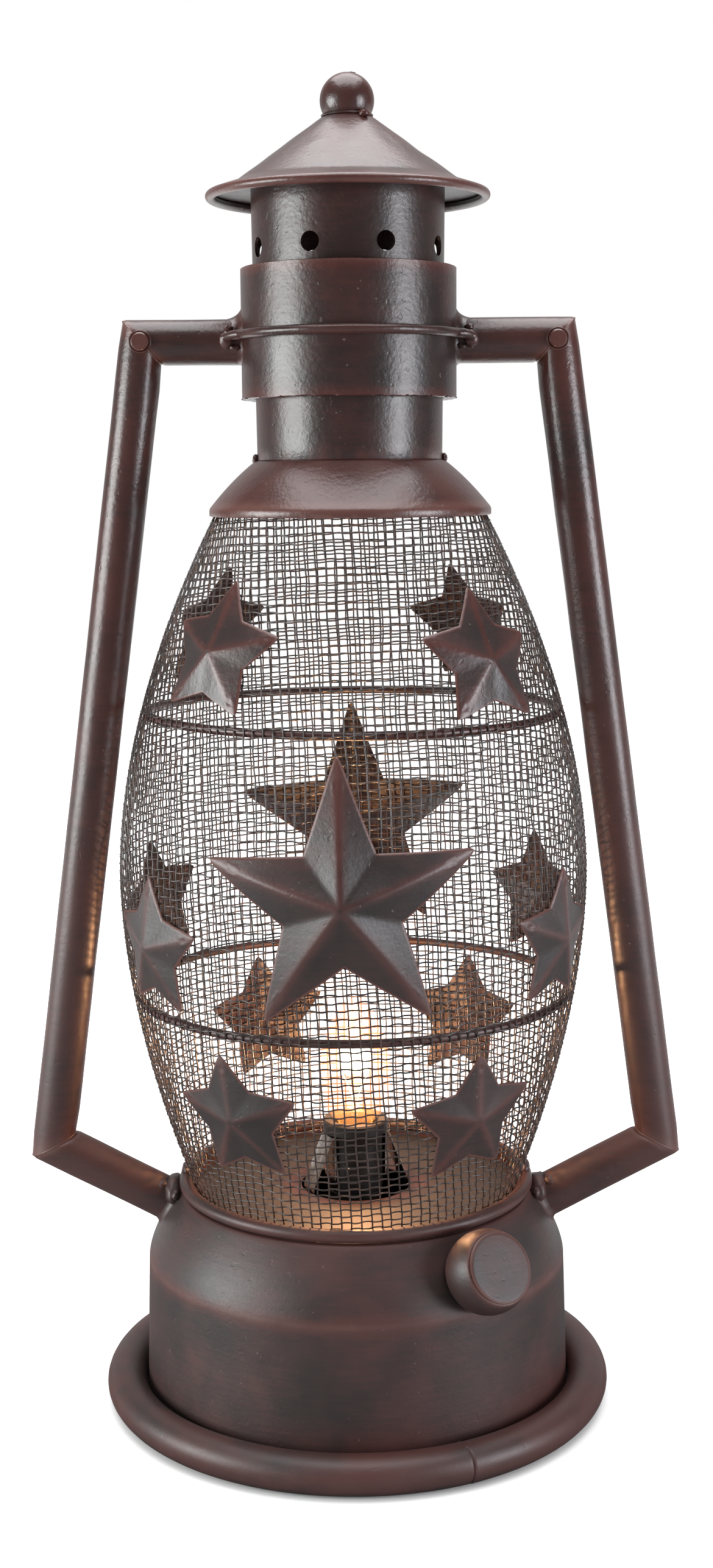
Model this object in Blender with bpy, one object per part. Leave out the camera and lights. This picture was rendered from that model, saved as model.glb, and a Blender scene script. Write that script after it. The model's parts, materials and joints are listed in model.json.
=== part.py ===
"""Electric table lamp in the form of a hurricane lantern, with a wire mesh globe and pressed stars.

Metres, +Z up. The origin is on the table, under the centre of the foot ring.
The front looks along -Y, and the two handle tubes stand at +X and -X.
"""
import math

import bmesh
import bpy
from mathutils import Matrix, Vector
from mathutils.geometry import interpolate_bezier

# Clearances
GAP = 0.0003                    # between pieces that touch or are welded
NET_CLEARANCE = 0.0006          # between the mesh globe and the rings around it

# Finishes: base colour, roughness, metallic and transmission
BRONZE_PAINT = ((0.060, 0.036, 0.031), 0.42, 0.55, 0.0)
MESH_WIRE = ((0.050, 0.034, 0.028), 0.45, 0.60, 0.0)
BRASS = ((0.720, 0.520, 0.210), 0.32, 1.00, 0.0)
SPRING_STEEL = ((0.620, 0.620, 0.600), 0.25, 1.00, 0.0)
BLACK_PLASTIC = ((0.015, 0.014, 0.014), 0.40, 0.00, 0.0)
BLACK_RUBBER = ((0.020, 0.020, 0.020), 0.75, 0.00, 0.0)
CLEAR_GLASS = ((1.000, 0.930, 0.860), 0.03, 0.00, 1.0)
FILAMENT_WIRE = ((0.900, 0.620, 0.280), 0.40, 1.00, 0.0)

# Round pieces
RING_STEPS = 40                 # facets round the large turned pieces
SMALL_STEPS = 16                # facets round the small ones
TUBE_STEPS = 16                 # facets round a handle tube
SMOOTH_ANGLE_DEG = 35.0         # edges sharper than this stay sharp
WELD_DISTANCE = 0.000001        # corners nearer than this are one corner
CORNER_LIMIT = 0.3              # how far a sharp corner of sheet metal may run out

# Foot ring: a bent tube
FOOT_RING_RADIUS = 0.0732       # to the middle of the tube
FOOT_TUBE_RADIUS = 0.0062
FOOT_TUBE_SIDES = 10

# Base: a rolled wall and a spun cover with a flat pan on top
SHEET = 0.0009                  # sheet metal of base, shoulder and sleeve
WALL_BOTTOM_Z = 0.0020
WALL_HEIGHT = 0.0446
WALL_TAPER = 0.0013             # how much narrower the wall is at its top
COVER_HEIGHT = 0.0208
COVER_POWER = 1.45              # how late the cover's side turns inwards
COVER_CORNER = 0.0010
COVER_STEPS = 5
PAN_HOLE_RADIUS = 0.0175
PAN_RADIUS = 0.0530             # edge of the pan, hidden under the bead

# Bead ring that holds the lower edge of the mesh
BEAD_RADIUS = 0.0535
BEAD_TUBE_RADIUS = 0.0021
BEAD_SIDES = 8
BEAD_OVERHANG = 0.0020          # flat cover beyond the middle of the bead

# Mesh globe
GLOBE_HEIGHT = 0.2108
GLOBE_BELLY_RADIUS = 0.0717
GLOBE_BELLY_RISE = 0.1003       # widest place above the lower edge
GLOBE_POWER = 1.83
GLOBE_TUCK = 0.0015             # upper edge inside the shoulder
NET_COLUMNS = 28                # even, so that the two sheets are alike
NET_ROWS = 7
NET_BAR_WIDTH = 0.0020
NET_THICKNESS = 0.0008

# Hoops inside the mesh
HOOP_TUBE_RADIUS = 0.0011
HOOP_SIDES = 6
UPPER_HOOP_RISE = 0.1499        # above the lower edge of the mesh
LOWER_HOOP_RISE = 0.0634

# Shoulder over the mesh
SHOULDER_LIP_RADIUS = 0.0424
SHOULDER_LIP_HEIGHT = 0.0018
SHOULDER_HEIGHT = 0.0142
SHOULDER_LEDGE = 0.0006         # top of the shoulder beyond the chimney
SHOULDER_BULGE = 0.0009
SHOULDER_STEPS = 3

# Chimney tube with its ring of vent holes
CHIMNEY_SHEET = 0.0008
CHIMNEY_BOTTOM_RADIUS = 0.0277
CHIMNEY_TOP_RADIUS = 0.0286
VENT_RISE = 0.0611
VENT_RADIUS = 0.00285
VENT_PAIRS = 4

# Sleeve round the chimney, with its two tie wires
SLEEVE_RADIUS = 0.0320
SLEEVE_RISE = 0.0177
SLEEVE_HEIGHT = 0.0382
TIE_RADIUS = 0.0014
TIE_RISE = 0.0186               # above the sleeve's lower edge
TIE_REACH = 0.0030              # end that lies on the handle arm, beyond the ring
TIE_HALF_STEPS = 8              # facets of the sleeve that half of the wire follows

# Cap and finial
CAP_SHEET = 0.0007
CAP_RISE = 0.0765               # middle of the rolled rim above the chimney's foot
CAP_RIM_RADIUS = 0.0420
CAP_CURL_RADIUS = 0.0014
CAP_SLOPE_DEG = 35.8
CAP_BRIM_RADIUS = 0.0334        # where the cone turns into the flatter brim
CAP_BRIM_SLOPE_DEG = 18.0
CAP_TOP_RADIUS = 0.0070
CAP_CURL_END_DEG = -150.0
CAP_CURL_STEPS = 5
FINIAL_RADIUS = 0.0080

# Handle frame: three mitred tubes on each side
HANDLE_TUBE_RADIUS = 0.0067
HANDLE_TUBE_WALL = 0.0010
ARM_RISE = 0.0170               # upper arm above the sleeve's lower edge
UPPER_CORNER_X = 0.0616
LOWER_CORNER_X = 0.0950
LOWER_CORNER_Z = 0.0810
LOWER_ARM_SEAT_RISE = 0.0140    # where the lower arm meets the cover, above its seam
CORNER_PIN_RADIUS = 0.0027
CORNER_PIN_PROUD = 0.0013

# Pressed stars
STAR_POINTS = 5
STAR_SHEET = 0.0007
STAR_SPLITS = 2
SMALL_STAR_RADIUS = 0.0214
SMALL_STAR_NOTCH = 0.56         # inner corner as a share of the star's radius
SMALL_STAR_HEIGHT = 0.0028
LARGE_STAR_RADIUS = 0.0418
LARGE_STAR_NOTCH = 0.41
LARGE_STAR_HEIGHT = 0.0065
LARGE_STARS = {                 # azimuth, middle above the mesh's lower edge, turn of a star put on askew
    "star_large_front": (-2.5, 0.1038, -2.0),
    "star_large_rear": (179.5, 0.1041, 1.5),
}
SMALL_STARS = {
    "star_upper_1": (-41.5, 0.1718, 5.0),
    "star_upper_2": (40.0, 0.1693, 0.5),
    "star_upper_3": (139.5, 0.1728, 3.0),
    "star_upper_4": (-129.0, 0.1728, -1.0),
    "star_middle_1": (-55.0, 0.0855, 1.5),
    "star_middle_2": (56.5, 0.0870, 3.5),
    "star_middle_3": (123.0, 0.0845, 6.0),
    "star_middle_4": (-117.0, 0.0838, 7.0),
    "star_lower_1": (-33.0, 0.0370, -5.0),
    "star_lower_2": (33.0, 0.0368, -2.5),
    "star_lower_3": (144.5, 0.0392, 3.0),
    "star_lower_4": (-151.5, 0.0385, 1.0),
}

# Lamp holder
HOLDER_TOP_RISE = 0.0211        # above the pan
HOLDER_HEIGHT = 0.0380
HOLDER_RADIUS = 0.0084
HOLDER_COLLAR_RADIUS = 0.01025
HOLDER_COLLAR_HEIGHT = 0.0040
HOLDER_BORE_RADIUS = 0.0072
HOLDER_BORE_DEPTH = 0.0240
HOLDER_WIRE_HOLE_RADIUS = 0.0024
SOCKET_SHELL_THICKNESS = 0.0005
SOCKET_SHELL_HEIGHT = 0.0170
SOCKET_SHELL_INSET = 0.0030
CONTACT_RADIUS = 0.0036
CONTACT_THICKNESS = 0.0006
CONTACT_PIP_RADIUS = 0.0014

# Spring clips of the holder
CLIP_WIDTH = 0.0075
CLIP_THICKNESS = 0.0005
CLIP_LEG = 0.0140
CLIP_TAB = 0.0016
CLIP_TURN_DEG = 25.0

# Bulb
BULB_RADIUS = 0.0112
BULB_GLASS_WALL = 0.0006
BULB_NECK_RADIUS = 0.0048
BULB_NECK_LENGTH = 0.0070
BULB_BELLY_RISE = 0.0165        # widest place above the brass shell
BULB_TIP_RISE = 0.0404
BULB_TIP_BLUNTNESS = 0.42       # shares of the bulb's size that shape its flame outline
BULB_FLAME_FULLNESS = 0.45
BULB_BELLY_FULLNESS = 0.60
BULB_NECK_FLARE = 1.80
BULB_NECK_EASE = 0.12
BULB_CURVE_STEPS = 5
BULB_SHELL_RADIUS = 0.00595
BULB_SHELL_SHEET = 0.00035
BULB_SHELL_INSET = 0.0012       # top of the brass shell below the holder's top
BULB_THREADS = 4
BULB_THREAD_PITCH = 0.00254
BULB_THREAD_DEPTH = 0.00045
BULB_TAPER_HEIGHT = 0.0047
BULB_FOOT_RADIUS = 0.0032
BULB_EYE_RADIUS = 0.0018
BULB_BUTTON_HEIGHT = 0.0020
STEM_RADIUS = 0.0017
STEM_HEIGHT = 0.0155
STEM_FLARE_HEIGHT = 0.0030
FILAMENT_RADIUS = 0.0003
FILAMENT_HEIGHT = 0.0150
FILAMENT_SPREAD = 0.0042
FILAMENT_BENDS = ((0.75, 0.55), (1.00, 0.80), (0.50, 1.00))     # shares of its spread and height

# Knob on the base cover, and the rotary switch behind it
KNOB_AZIMUTH_DEG = 34.5         # from the front towards +X
KNOB_RISE = 0.0098              # above the seam between wall and cover
KNOB_BALL_RADIUS = 0.0124
KNOB_BALL_LIFT = 0.0063         # ball centre off the cover
KNOB_FACE_LIFT = 0.0072         # face beyond the ball centre
KNOB_BACK_LIFT = 0.0008
KNOB_WALL = 0.0010
KNOB_FACE_RADIUS = 0.0104
KNOB_FACE_THICKNESS = 0.0012
KNOB_HUB_WALL = 0.0013
KNOB_STEPS = 7
SHAFT_RADIUS = 0.0030
BUSHING_RADIUS = 0.0047
BUSHING_PROUD = 0.0032
NUT_FLATS_RADIUS = 0.0065
NUT_THICKNESS = 0.0020
NUT_SIDES = 6
SWITCH_RADIUS = 0.0080
SWITCH_LENGTH = 0.0140
SWITCH_DROP = 0.0036            # top of the switch body below the cover's surface
SWITCH_FLOOR = 0.0020

# Cord bushing at the rear of the base wall
CORD_EXIT_Z = 0.0210
CORD_BORE_RADIUS = 0.0023
CORD_BARREL_RADIUS = 0.0046
CORD_FLANGE_RADIUS = 0.0064
CORD_FLANGE_THICKNESS = 0.0020
CORD_LIP_THICKNESS = 0.0014
CORD_LIP_RADIUS = 0.0058

# Half lengths of the guide bodies that cut holes and tube ends
CORD_HOLE_REACH = 0.0100
SWITCH_HOLE_REACH = 0.0060
SLEEVE_GUIDE_REACH = 0.0120

# Heights that follow from the stack of pieces
FOOT_CENTRE_Z = FOOT_TUBE_RADIUS * math.cos(math.pi / FOOT_TUBE_SIDES)
SEAM_Z = WALL_BOTTOM_Z + WALL_HEIGHT
PAN_Z = SEAM_Z + COVER_HEIGHT
GLOBE_BOTTOM_Z = PAN_Z + GAP
BEAD_Z = PAN_Z + GAP + BEAD_TUBE_RADIUS * math.cos(math.pi / BEAD_SIDES)
GLOBE_TOP_Z = GLOBE_BOTTOM_Z + GLOBE_HEIGHT
BELLY_Z = GLOBE_BOTTOM_Z + GLOBE_BELLY_RISE
LIP_BOTTOM_Z = GLOBE_TOP_Z - GLOBE_TUCK
LIP_TOP_Z = LIP_BOTTOM_Z + SHOULDER_LIP_HEIGHT
SHOULDER_TOP_Z = LIP_TOP_Z + SHOULDER_HEIGHT
CHIMNEY_BOTTOM_Z = SHOULDER_TOP_Z + GAP
SLEEVE_BOTTOM_Z = CHIMNEY_BOTTOM_Z + SLEEVE_RISE
SLEEVE_TOP_Z = SLEEVE_BOTTOM_Z + SLEEVE_HEIGHT
TIE_Z = SLEEVE_BOTTOM_Z + TIE_RISE
ARM_Z = SLEEVE_BOTTOM_Z + ARM_RISE
CURL_Z = CHIMNEY_BOTTOM_Z + CAP_RISE
HOLDER_TOP_Z = PAN_Z + HOLDER_TOP_RISE
HOLDER_BOTTOM_Z = HOLDER_TOP_Z - HOLDER_HEIGHT
HOLDER_FLOOR_Z = HOLDER_TOP_Z - HOLDER_BORE_DEPTH
COLLAR_BOTTOM_Z = HOLDER_TOP_Z - HOLDER_COLLAR_HEIGHT
BULB_SHELL_TOP_Z = HOLDER_TOP_Z - BULB_SHELL_INSET
THREAD_BOTTOM_Z = BULB_SHELL_TOP_Z - (BULB_THREADS + 0.5) * BULB_THREAD_PITCH
BULB_FOOT_Z = THREAD_BOTTOM_Z - BULB_TAPER_HEIGHT

# Radii that follow from the pieces they fit
WALL_FOOT_RADIUS = FOOT_RING_RADIUS - FOOT_TUBE_RADIUS - GAP
SEAM_RADIUS = WALL_FOOT_RADIUS - WALL_TAPER
COVER_RIM_RADIUS = BEAD_RADIUS + BEAD_OVERHANG
GLOBE_FOOT_RADIUS = BEAD_RADIUS - BEAD_TUBE_RADIUS - NET_CLEARANCE
GLOBE_NECK_RADIUS = SHOULDER_LIP_RADIUS - SHEET - NET_CLEARANCE
SHOULDER_TOP_RADIUS = CHIMNEY_BOTTOM_RADIUS + SHOULDER_LEDGE
SHOULDER_HOLE_RADIUS = CHIMNEY_BOTTOM_RADIUS - 2.0 * CHIMNEY_SHEET


def clear_scene():
    """Start from an empty file."""
    for old in list(bpy.data.objects):
        bpy.data.objects.remove(old, do_unlink=True)


def make_material(name, finish):
    """A plain material from one of the finishes."""
    colour, roughness, metallic, transmission = finish
    material = bpy.data.materials.new(name)
    material.use_nodes = True
    shader = material.node_tree.nodes["Principled BSDF"]
    shader.inputs["Base Color"].default_value = (*colour, 1.0)
    shader.inputs["Roughness"].default_value = roughness
    shader.inputs["Metallic"].default_value = metallic
    shader.inputs["Transmission Weight"].default_value = transmission
    return material


def add_object(name, mesh, material, smooth=True):
    """Link a mesh to the scene as a named piece."""
    if smooth:
        mesh.shade_smooth()
        mesh.set_sharp_from_angle(angle=math.radians(SMOOTH_ANGLE_DEG))
    if material:
        mesh.materials.append(material)
    obj = bpy.data.objects.new(name, mesh)
    bpy.context.collection.objects.link(obj)
    return obj


def finish_mesh(bm, name):
    """Weld the seams of a bmesh, turn its faces outwards and make a mesh of it."""
    bmesh.ops.remove_doubles(bm, verts=bm.verts[:], dist=WELD_DISTANCE)
    loose = [edge for edge in bm.edges if not edge.link_faces]
    bmesh.ops.delete(bm, geom=loose, context="EDGES")
    bmesh.ops.recalc_face_normals(bm, faces=bm.faces[:])
    mesh = bpy.data.meshes.new(name)
    bm.to_mesh(mesh)
    bm.free()
    return mesh


def spin_mesh(name, outline, steps):
    """Turn a closed outline of (radius, height) points round the Z axis."""
    bm = bmesh.new()
    corners = [bm.verts.new((radius, 0.0, height)) for radius, height in outline]
    edges = [bm.edges.new((a, b)) for a, b in zip(corners, corners[1:] + corners[:1])]
    bmesh.ops.spin(bm, geom=corners + edges, cent=(0, 0, 0), axis=(0, 0, 1), dvec=(0, 0, 0),
                   angle=2.0 * math.pi, steps=steps, use_merge=False, use_duplicate=False)
    return finish_mesh(bm, name)


def turned(name, outline, material, steps=RING_STEPS):
    """A turned piece on the lamp's own axis."""
    return add_object(name, spin_mesh(name, outline, steps), material)


def offset_path(path, distance):
    """Move a path of (x, z) points sideways, to the right of its direction."""
    moved = []
    for index, point in enumerate(path):
        before = Vector(path[max(index - 1, 0)])
        after = Vector(path[min(index + 1, len(path) - 1)])
        here = Vector(point)
        arriving = (here - before) if index else (after - here)
        leaving = (after - here) if index < len(path) - 1 else arriving
        arriving = arriving.normalized()
        leaving = leaving.normalized()
        right_a = Vector((arriving.y, -arriving.x))
        right_b = Vector((leaving.y, -leaving.x))
        middle = (right_a + right_b).normalized()
        moved.append(tuple(here + middle * distance / max(middle.dot(right_a), CORNER_LIMIT)))
    return moved


def sheet_outline(path, thickness):
    """Closed outline of sheet metal whose outer face follows a path, thick to its right."""
    return list(path) + offset_path(path, thickness)[::-1]


def ring_outline(radius, height, tube_radius, sides):
    """Outline of a ring's tube, with one flat side down."""
    outline = []
    for index in range(sides):
        angle = 2.0 * math.pi * (index + 0.5) / sides - 0.5 * math.pi
        outline.append((radius + tube_radius * math.cos(angle), height + tube_radius * math.sin(angle)))
    return outline


def add_cutter(name, mesh):
    """A guide body that is only subtracted from others."""
    cutter = add_object(name, mesh, None, smooth=False)
    cutter.display_type = "WIRE"
    cutter.hide_render = True
    return cutter


def cut_with(obj, cutter):
    """Subtract a cutter from a piece."""
    cut = obj.modifiers.new("cut_" + cutter.name, "BOOLEAN")
    cut.operation = "DIFFERENCE"
    cut.solver = "EXACT"
    cut.object = cutter


def cylinder_mesh(name, radius, low, high, steps):
    """A closed cylinder on the Z axis."""
    return spin_mesh(name, [(0.0, low), (radius, low), (radius, high), (0.0, high)], steps)


def azimuth_direction(azimuth_deg):
    """Level direction at an azimuth counted from the front towards +X."""
    angle = math.radians(azimuth_deg)
    return Vector((math.sin(angle), -math.cos(angle), 0.0))


def wall_radius(height):
    """Outer radius of the base wall at a height."""
    return WALL_FOOT_RADIUS - WALL_TAPER * (height - WALL_BOTTOM_Z) / WALL_HEIGHT


def cover_radius(height):
    """Outer radius of the base cover's side at a height."""
    share = (height - SEAM_Z) / (COVER_HEIGHT - COVER_CORNER)
    return SEAM_RADIUS - (SEAM_RADIUS - COVER_RIM_RADIUS) * share ** COVER_POWER


def chimney_radius(height):
    """Outer radius of the chimney tube at a height."""
    share = (height - CHIMNEY_BOTTOM_Z) / CAP_RISE
    return CHIMNEY_BOTTOM_RADIUS + (CHIMNEY_TOP_RADIUS - CHIMNEY_BOTTOM_RADIUS) * share


def globe_radius(height):
    """Outer radius of the mesh globe at a height."""
    if height < BELLY_Z:
        share = (BELLY_Z - height) / (BELLY_Z - BEAD_Z)
        end_radius = GLOBE_FOOT_RADIUS
    else:
        share = (height - BELLY_Z) / (LIP_BOTTOM_Z - BELLY_Z)
        end_radius = GLOBE_NECK_RADIUS
    return GLOBE_BELLY_RADIUS - (GLOBE_BELLY_RADIUS - end_radius) * share ** GLOBE_POWER


def cap_surface(radius):
    """Height of the cap's outer face at a radius inside its brim."""
    slope = math.radians(CAP_BRIM_SLOPE_DEG)
    touch_radius = CAP_RIM_RADIUS - CAP_CURL_RADIUS + CAP_CURL_RADIUS * math.sin(slope)
    touch_z = CURL_Z + CAP_CURL_RADIUS * math.cos(slope)
    brim_z = touch_z + (touch_radius - CAP_BRIM_RADIUS) * math.tan(slope)
    return brim_z + (CAP_BRIM_RADIUS - radius) * math.tan(math.radians(CAP_SLOPE_DEG))


def make_foot_ring(paint):
    outline = ring_outline(FOOT_RING_RADIUS, FOOT_CENTRE_Z, FOOT_TUBE_RADIUS, FOOT_TUBE_SIDES)
    turned("foot_ring", outline, paint)


def make_base_wall(paint):
    """Rolled wall that stands inside the foot ring, with the cord's hole at the rear."""
    path = [(wall_radius(SEAM_Z), SEAM_Z - GAP), (WALL_FOOT_RADIUS, WALL_BOTTOM_Z)]
    wall = turned("base_wall", sheet_outline(path, SHEET), paint)
    reach = CORD_HOLE_REACH
    mesh = cylinder_mesh("cord_hole", CORD_BARREL_RADIUS + GAP, -reach, reach, SMALL_STEPS)
    hole = add_cutter("cord_hole", mesh)
    hole.rotation_euler = (-0.5 * math.pi, 0.0, 0.0)
    hole.location = (0.0, wall_radius(CORD_EXIT_Z), CORD_EXIT_Z)
    cut_with(wall, hole)


def cover_path():
    """Outer face of the base cover, from the pan's edge outwards and down to the seam."""
    side = []
    for step in range(COVER_STEPS + 1):
        height = SEAM_Z + (COVER_HEIGHT - COVER_CORNER) * (1.0 - step / COVER_STEPS)
        side.append((cover_radius(height), height))
    return [(PAN_RADIUS + GAP, PAN_Z), (COVER_RIM_RADIUS - COVER_CORNER, PAN_Z)] + side


def knob_matrix():
    """Frame of the knob: its origin on the cover, +Z along the knob's axis."""
    height = SEAM_Z + KNOB_RISE
    reach = 0.5 * COVER_CORNER
    fall = (cover_radius(height - reach) - cover_radius(height + reach)) / (2.0 * reach)
    out = azimuth_direction(KNOB_AZIMUTH_DEG)
    axis = (out + Vector((0.0, 0.0, fall))).normalized()
    place = out * cover_radius(height) + Vector((0.0, 0.0, height))
    return Matrix.Translation(place) @ axis.to_track_quat("Z", "Y").to_matrix().to_4x4()


def make_base_cover(paint):
    """Spun cover round the pan, with the hole for the switch."""
    cover = turned("base_cover", sheet_outline(cover_path(), SHEET), paint)
    reach = SWITCH_HOLE_REACH
    mesh = cylinder_mesh("switch_hole", BUSHING_RADIUS + GAP, -reach, reach, SMALL_STEPS)
    hole = add_cutter("switch_hole", mesh)
    hole.matrix_world = knob_matrix()
    cut_with(cover, hole)


def make_base_pan(paint):
    """Flat pan that closes the base cover, with the holder's hole in its middle."""
    turned("base_pan", sheet_outline([(PAN_HOLE_RADIUS, PAN_Z), (PAN_RADIUS, PAN_Z)], SHEET), paint)


def make_globe_bead(paint):
    turned("globe_bead", ring_outline(BEAD_RADIUS, BEAD_Z, BEAD_TUBE_RADIUS, BEAD_SIDES), paint)


def net_radius(height):
    """Radius of the net at a height, where its flat cells cut inside the globe's curve."""
    pitch = GLOBE_HEIGHT / NET_ROWS
    row = min(int((height - GLOBE_BOTTOM_Z) / pitch), NET_ROWS - 1)
    low = GLOBE_BOTTOM_Z + pitch * row
    share = (height - low) / pitch
    return globe_radius(low) * (1.0 - share) + globe_radius(low + pitch) * share


def make_mesh_sheets(wire):
    """Two half barrels of wire mesh, front and rear, as open nets: each cell is inset and opened."""
    columns = NET_COLUMNS // 2
    for name, side in (("mesh_front", -1.0), ("mesh_rear", 1.0)):
        bm = bmesh.new()
        rings = []
        for row in range(NET_ROWS + 1):
            height = GLOBE_BOTTOM_Z + GLOBE_HEIGHT * row / NET_ROWS
            radius = globe_radius(height)
            ring = []
            for column in range(columns + 1):
                angle = math.pi * column / columns
                depth = max(radius * math.sin(angle), 0.5 * GAP)
                ring.append(bm.verts.new((side * radius * math.cos(angle), side * depth, height)))
            rings.append(ring)
        for below, above in zip(rings, rings[1:]):
            for column in range(columns):
                following = column + 1
                bm.faces.new((below[column], below[following], above[following], above[column]))
        bm.normal_update()
        cells = bm.faces[:]
        bmesh.ops.inset_individual(bm, faces=cells, thickness=0.5 * NET_BAR_WIDTH, use_even_offset=True)
        bmesh.ops.delete(bm, geom=cells, context="FACES_ONLY")
        mesh = bpy.data.meshes.new(name)
        bm.to_mesh(mesh)
        bm.free()
        net = add_object(name, mesh, wire, smooth=False)
        wall = net.modifiers.new("wire", "SOLIDIFY")
        wall.thickness = NET_THICKNESS
        wall.offset = -1.0


def make_hoops(paint):
    """Two hoops that stiffen the mesh from inside."""
    for name, rise in (("upper_hoop", UPPER_HOOP_RISE), ("lower_hoop", LOWER_HOOP_RISE)):
        height = GLOBE_BOTTOM_Z + rise
        radius = net_radius(height) - NET_THICKNESS - NET_CLEARANCE - HOOP_TUBE_RADIUS
        outline = ring_outline(radius, height, HOOP_TUBE_RADIUS, HOOP_SIDES)
        turned(name, outline, paint, steps=NET_COLUMNS)


def make_shoulder(paint):
    """Spun shoulder that covers the upper edge of the mesh and carries the chimney."""
    path = [(SHOULDER_HOLE_RADIUS, SHOULDER_TOP_Z)]
    for step in range(SHOULDER_STEPS + 1):
        share = step / SHOULDER_STEPS
        radius = SHOULDER_TOP_RADIUS + (SHOULDER_LIP_RADIUS - SHOULDER_TOP_RADIUS) * share
        bulge = 4.0 * SHOULDER_BULGE * share * (1.0 - share)
        path.append((radius, SHOULDER_TOP_Z - SHOULDER_HEIGHT * share + bulge))
    path.append((SHOULDER_LIP_RADIUS, LIP_BOTTOM_Z))
    turned("shoulder", sheet_outline(path, SHEET), paint)


def make_chimney(paint):
    """Tapered tube from the shoulder up to the underside of the cap, with vent holes."""
    under_cap = cap_surface(CHIMNEY_TOP_RADIUS) - CAP_SHEET / math.cos(math.radians(CAP_SLOPE_DEG))
    top_z = under_cap - GAP
    path = [(chimney_radius(top_z), top_z), (CHIMNEY_BOTTOM_RADIUS, CHIMNEY_BOTTOM_Z)]
    chimney = turned("chimney_tube", sheet_outline(path, CHIMNEY_SHEET), paint)
    for pair in range(VENT_PAIRS):
        name = f"vent_{pair + 1}"
        reach = CHIMNEY_TOP_RADIUS + SHEET
        vent = add_cutter(name, cylinder_mesh(name, VENT_RADIUS, -reach, reach, TUBE_STEPS))
        azimuth = 180.0 * (pair + 0.5) / VENT_PAIRS
        vent.rotation_euler = azimuth_direction(azimuth).to_track_quat("Z", "Y").to_euler()
        vent.location = (0.0, 0.0, CHIMNEY_BOTTOM_Z + VENT_RISE)
        cut_with(chimney, vent)


def make_sleeve(paint):
    """Sleeve with its edges turned in to the chimney."""
    path = [
        (chimney_radius(SLEEVE_TOP_Z) + GAP, SLEEVE_TOP_Z),
        (SLEEVE_RADIUS, SLEEVE_TOP_Z),
        (SLEEVE_RADIUS, SLEEVE_BOTTOM_Z),
        (chimney_radius(SLEEVE_BOTTOM_Z + SHEET) + GAP, SLEEVE_BOTTOM_Z),
    ]
    turned("chimney_sleeve", sheet_outline(path, SHEET), paint)


def curve_tube(name, points, radius, material):
    """A round wire along a row of points, closed at both ends."""
    curve = bpy.data.curves.new(name, "CURVE")
    curve.dimensions = "3D"
    curve.bevel_depth = radius
    curve.bevel_resolution = 1
    curve.use_fill_caps = True
    spline = curve.splines.new("POLY")
    spline.points.add(len(points) - 1)
    for target, point in zip(spline.points, points):
        target.co = (*point, 1.0)
    curve.materials.append(material)
    wire = bpy.data.objects.new(name, curve)
    bpy.context.collection.objects.link(wire)
    return wire


def make_tie_wires(paint):
    """A wire round the front of the sleeve and one round its rear, each ending on both upper arms."""
    ring_radius = SLEEVE_RADIUS + GAP + TIE_RADIUS
    arm_y = -(HANDLE_TUBE_RADIUS + GAP + TIE_RADIUS)
    half = []
    for step in range(TIE_HALF_STEPS + 1):
        angle = 2.0 * math.pi * step / RING_STEPS
        half.append((ring_radius * math.sin(angle), -ring_radius * math.cos(angle), TIE_Z))
    bend_x = ring_radius + 0.5 * TIE_RADIUS
    half.append((bend_x, arm_y, TIE_Z))
    half.append((ring_radius + TIE_REACH, arm_y, TIE_Z))
    mirrored = [(-x, y, z) for x, y, z in half[:0:-1]]
    front = curve_tube("sleeve_wire_front", mirrored + half, TIE_RADIUS, paint)
    rear = front.copy()
    rear.name = "sleeve_wire_rear"
    rear.rotation_euler = (0.0, 0.0, math.pi)
    bpy.context.collection.objects.link(rear)


def make_cap(paint):
    """Conical cap with a rolled rim, and the ball that stands in its top hole."""
    path = [(radius, cap_surface(radius)) for radius in (CAP_TOP_RADIUS, CAP_BRIM_RADIUS)]
    start = math.radians(90.0 - CAP_BRIM_SLOPE_DEG)
    sweep = math.radians(CAP_CURL_END_DEG) - start
    for step in range(CAP_CURL_STEPS + 1):
        angle = start + sweep * step / CAP_CURL_STEPS
        radius = CAP_RIM_RADIUS - CAP_CURL_RADIUS + CAP_CURL_RADIUS * math.cos(angle)
        path.append((radius, CURL_Z + CAP_CURL_RADIUS * math.sin(angle)))
    turned("cap_cone", sheet_outline(path, CAP_SHEET), paint)
    drop = math.sqrt((FINIAL_RADIUS + GAP) ** 2 - CAP_TOP_RADIUS ** 2)
    ball = bmesh.new()
    bmesh.ops.create_uvsphere(ball, u_segments=SMALL_STEPS, v_segments=SMALL_STEPS // 2,
                              radius=FINIAL_RADIUS)
    finial = add_object("finial_ball", finish_mesh(ball, "finial_ball"), paint)
    finial.location = (0.0, 0.0, cap_surface(CAP_TOP_RADIUS) + drop)


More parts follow.
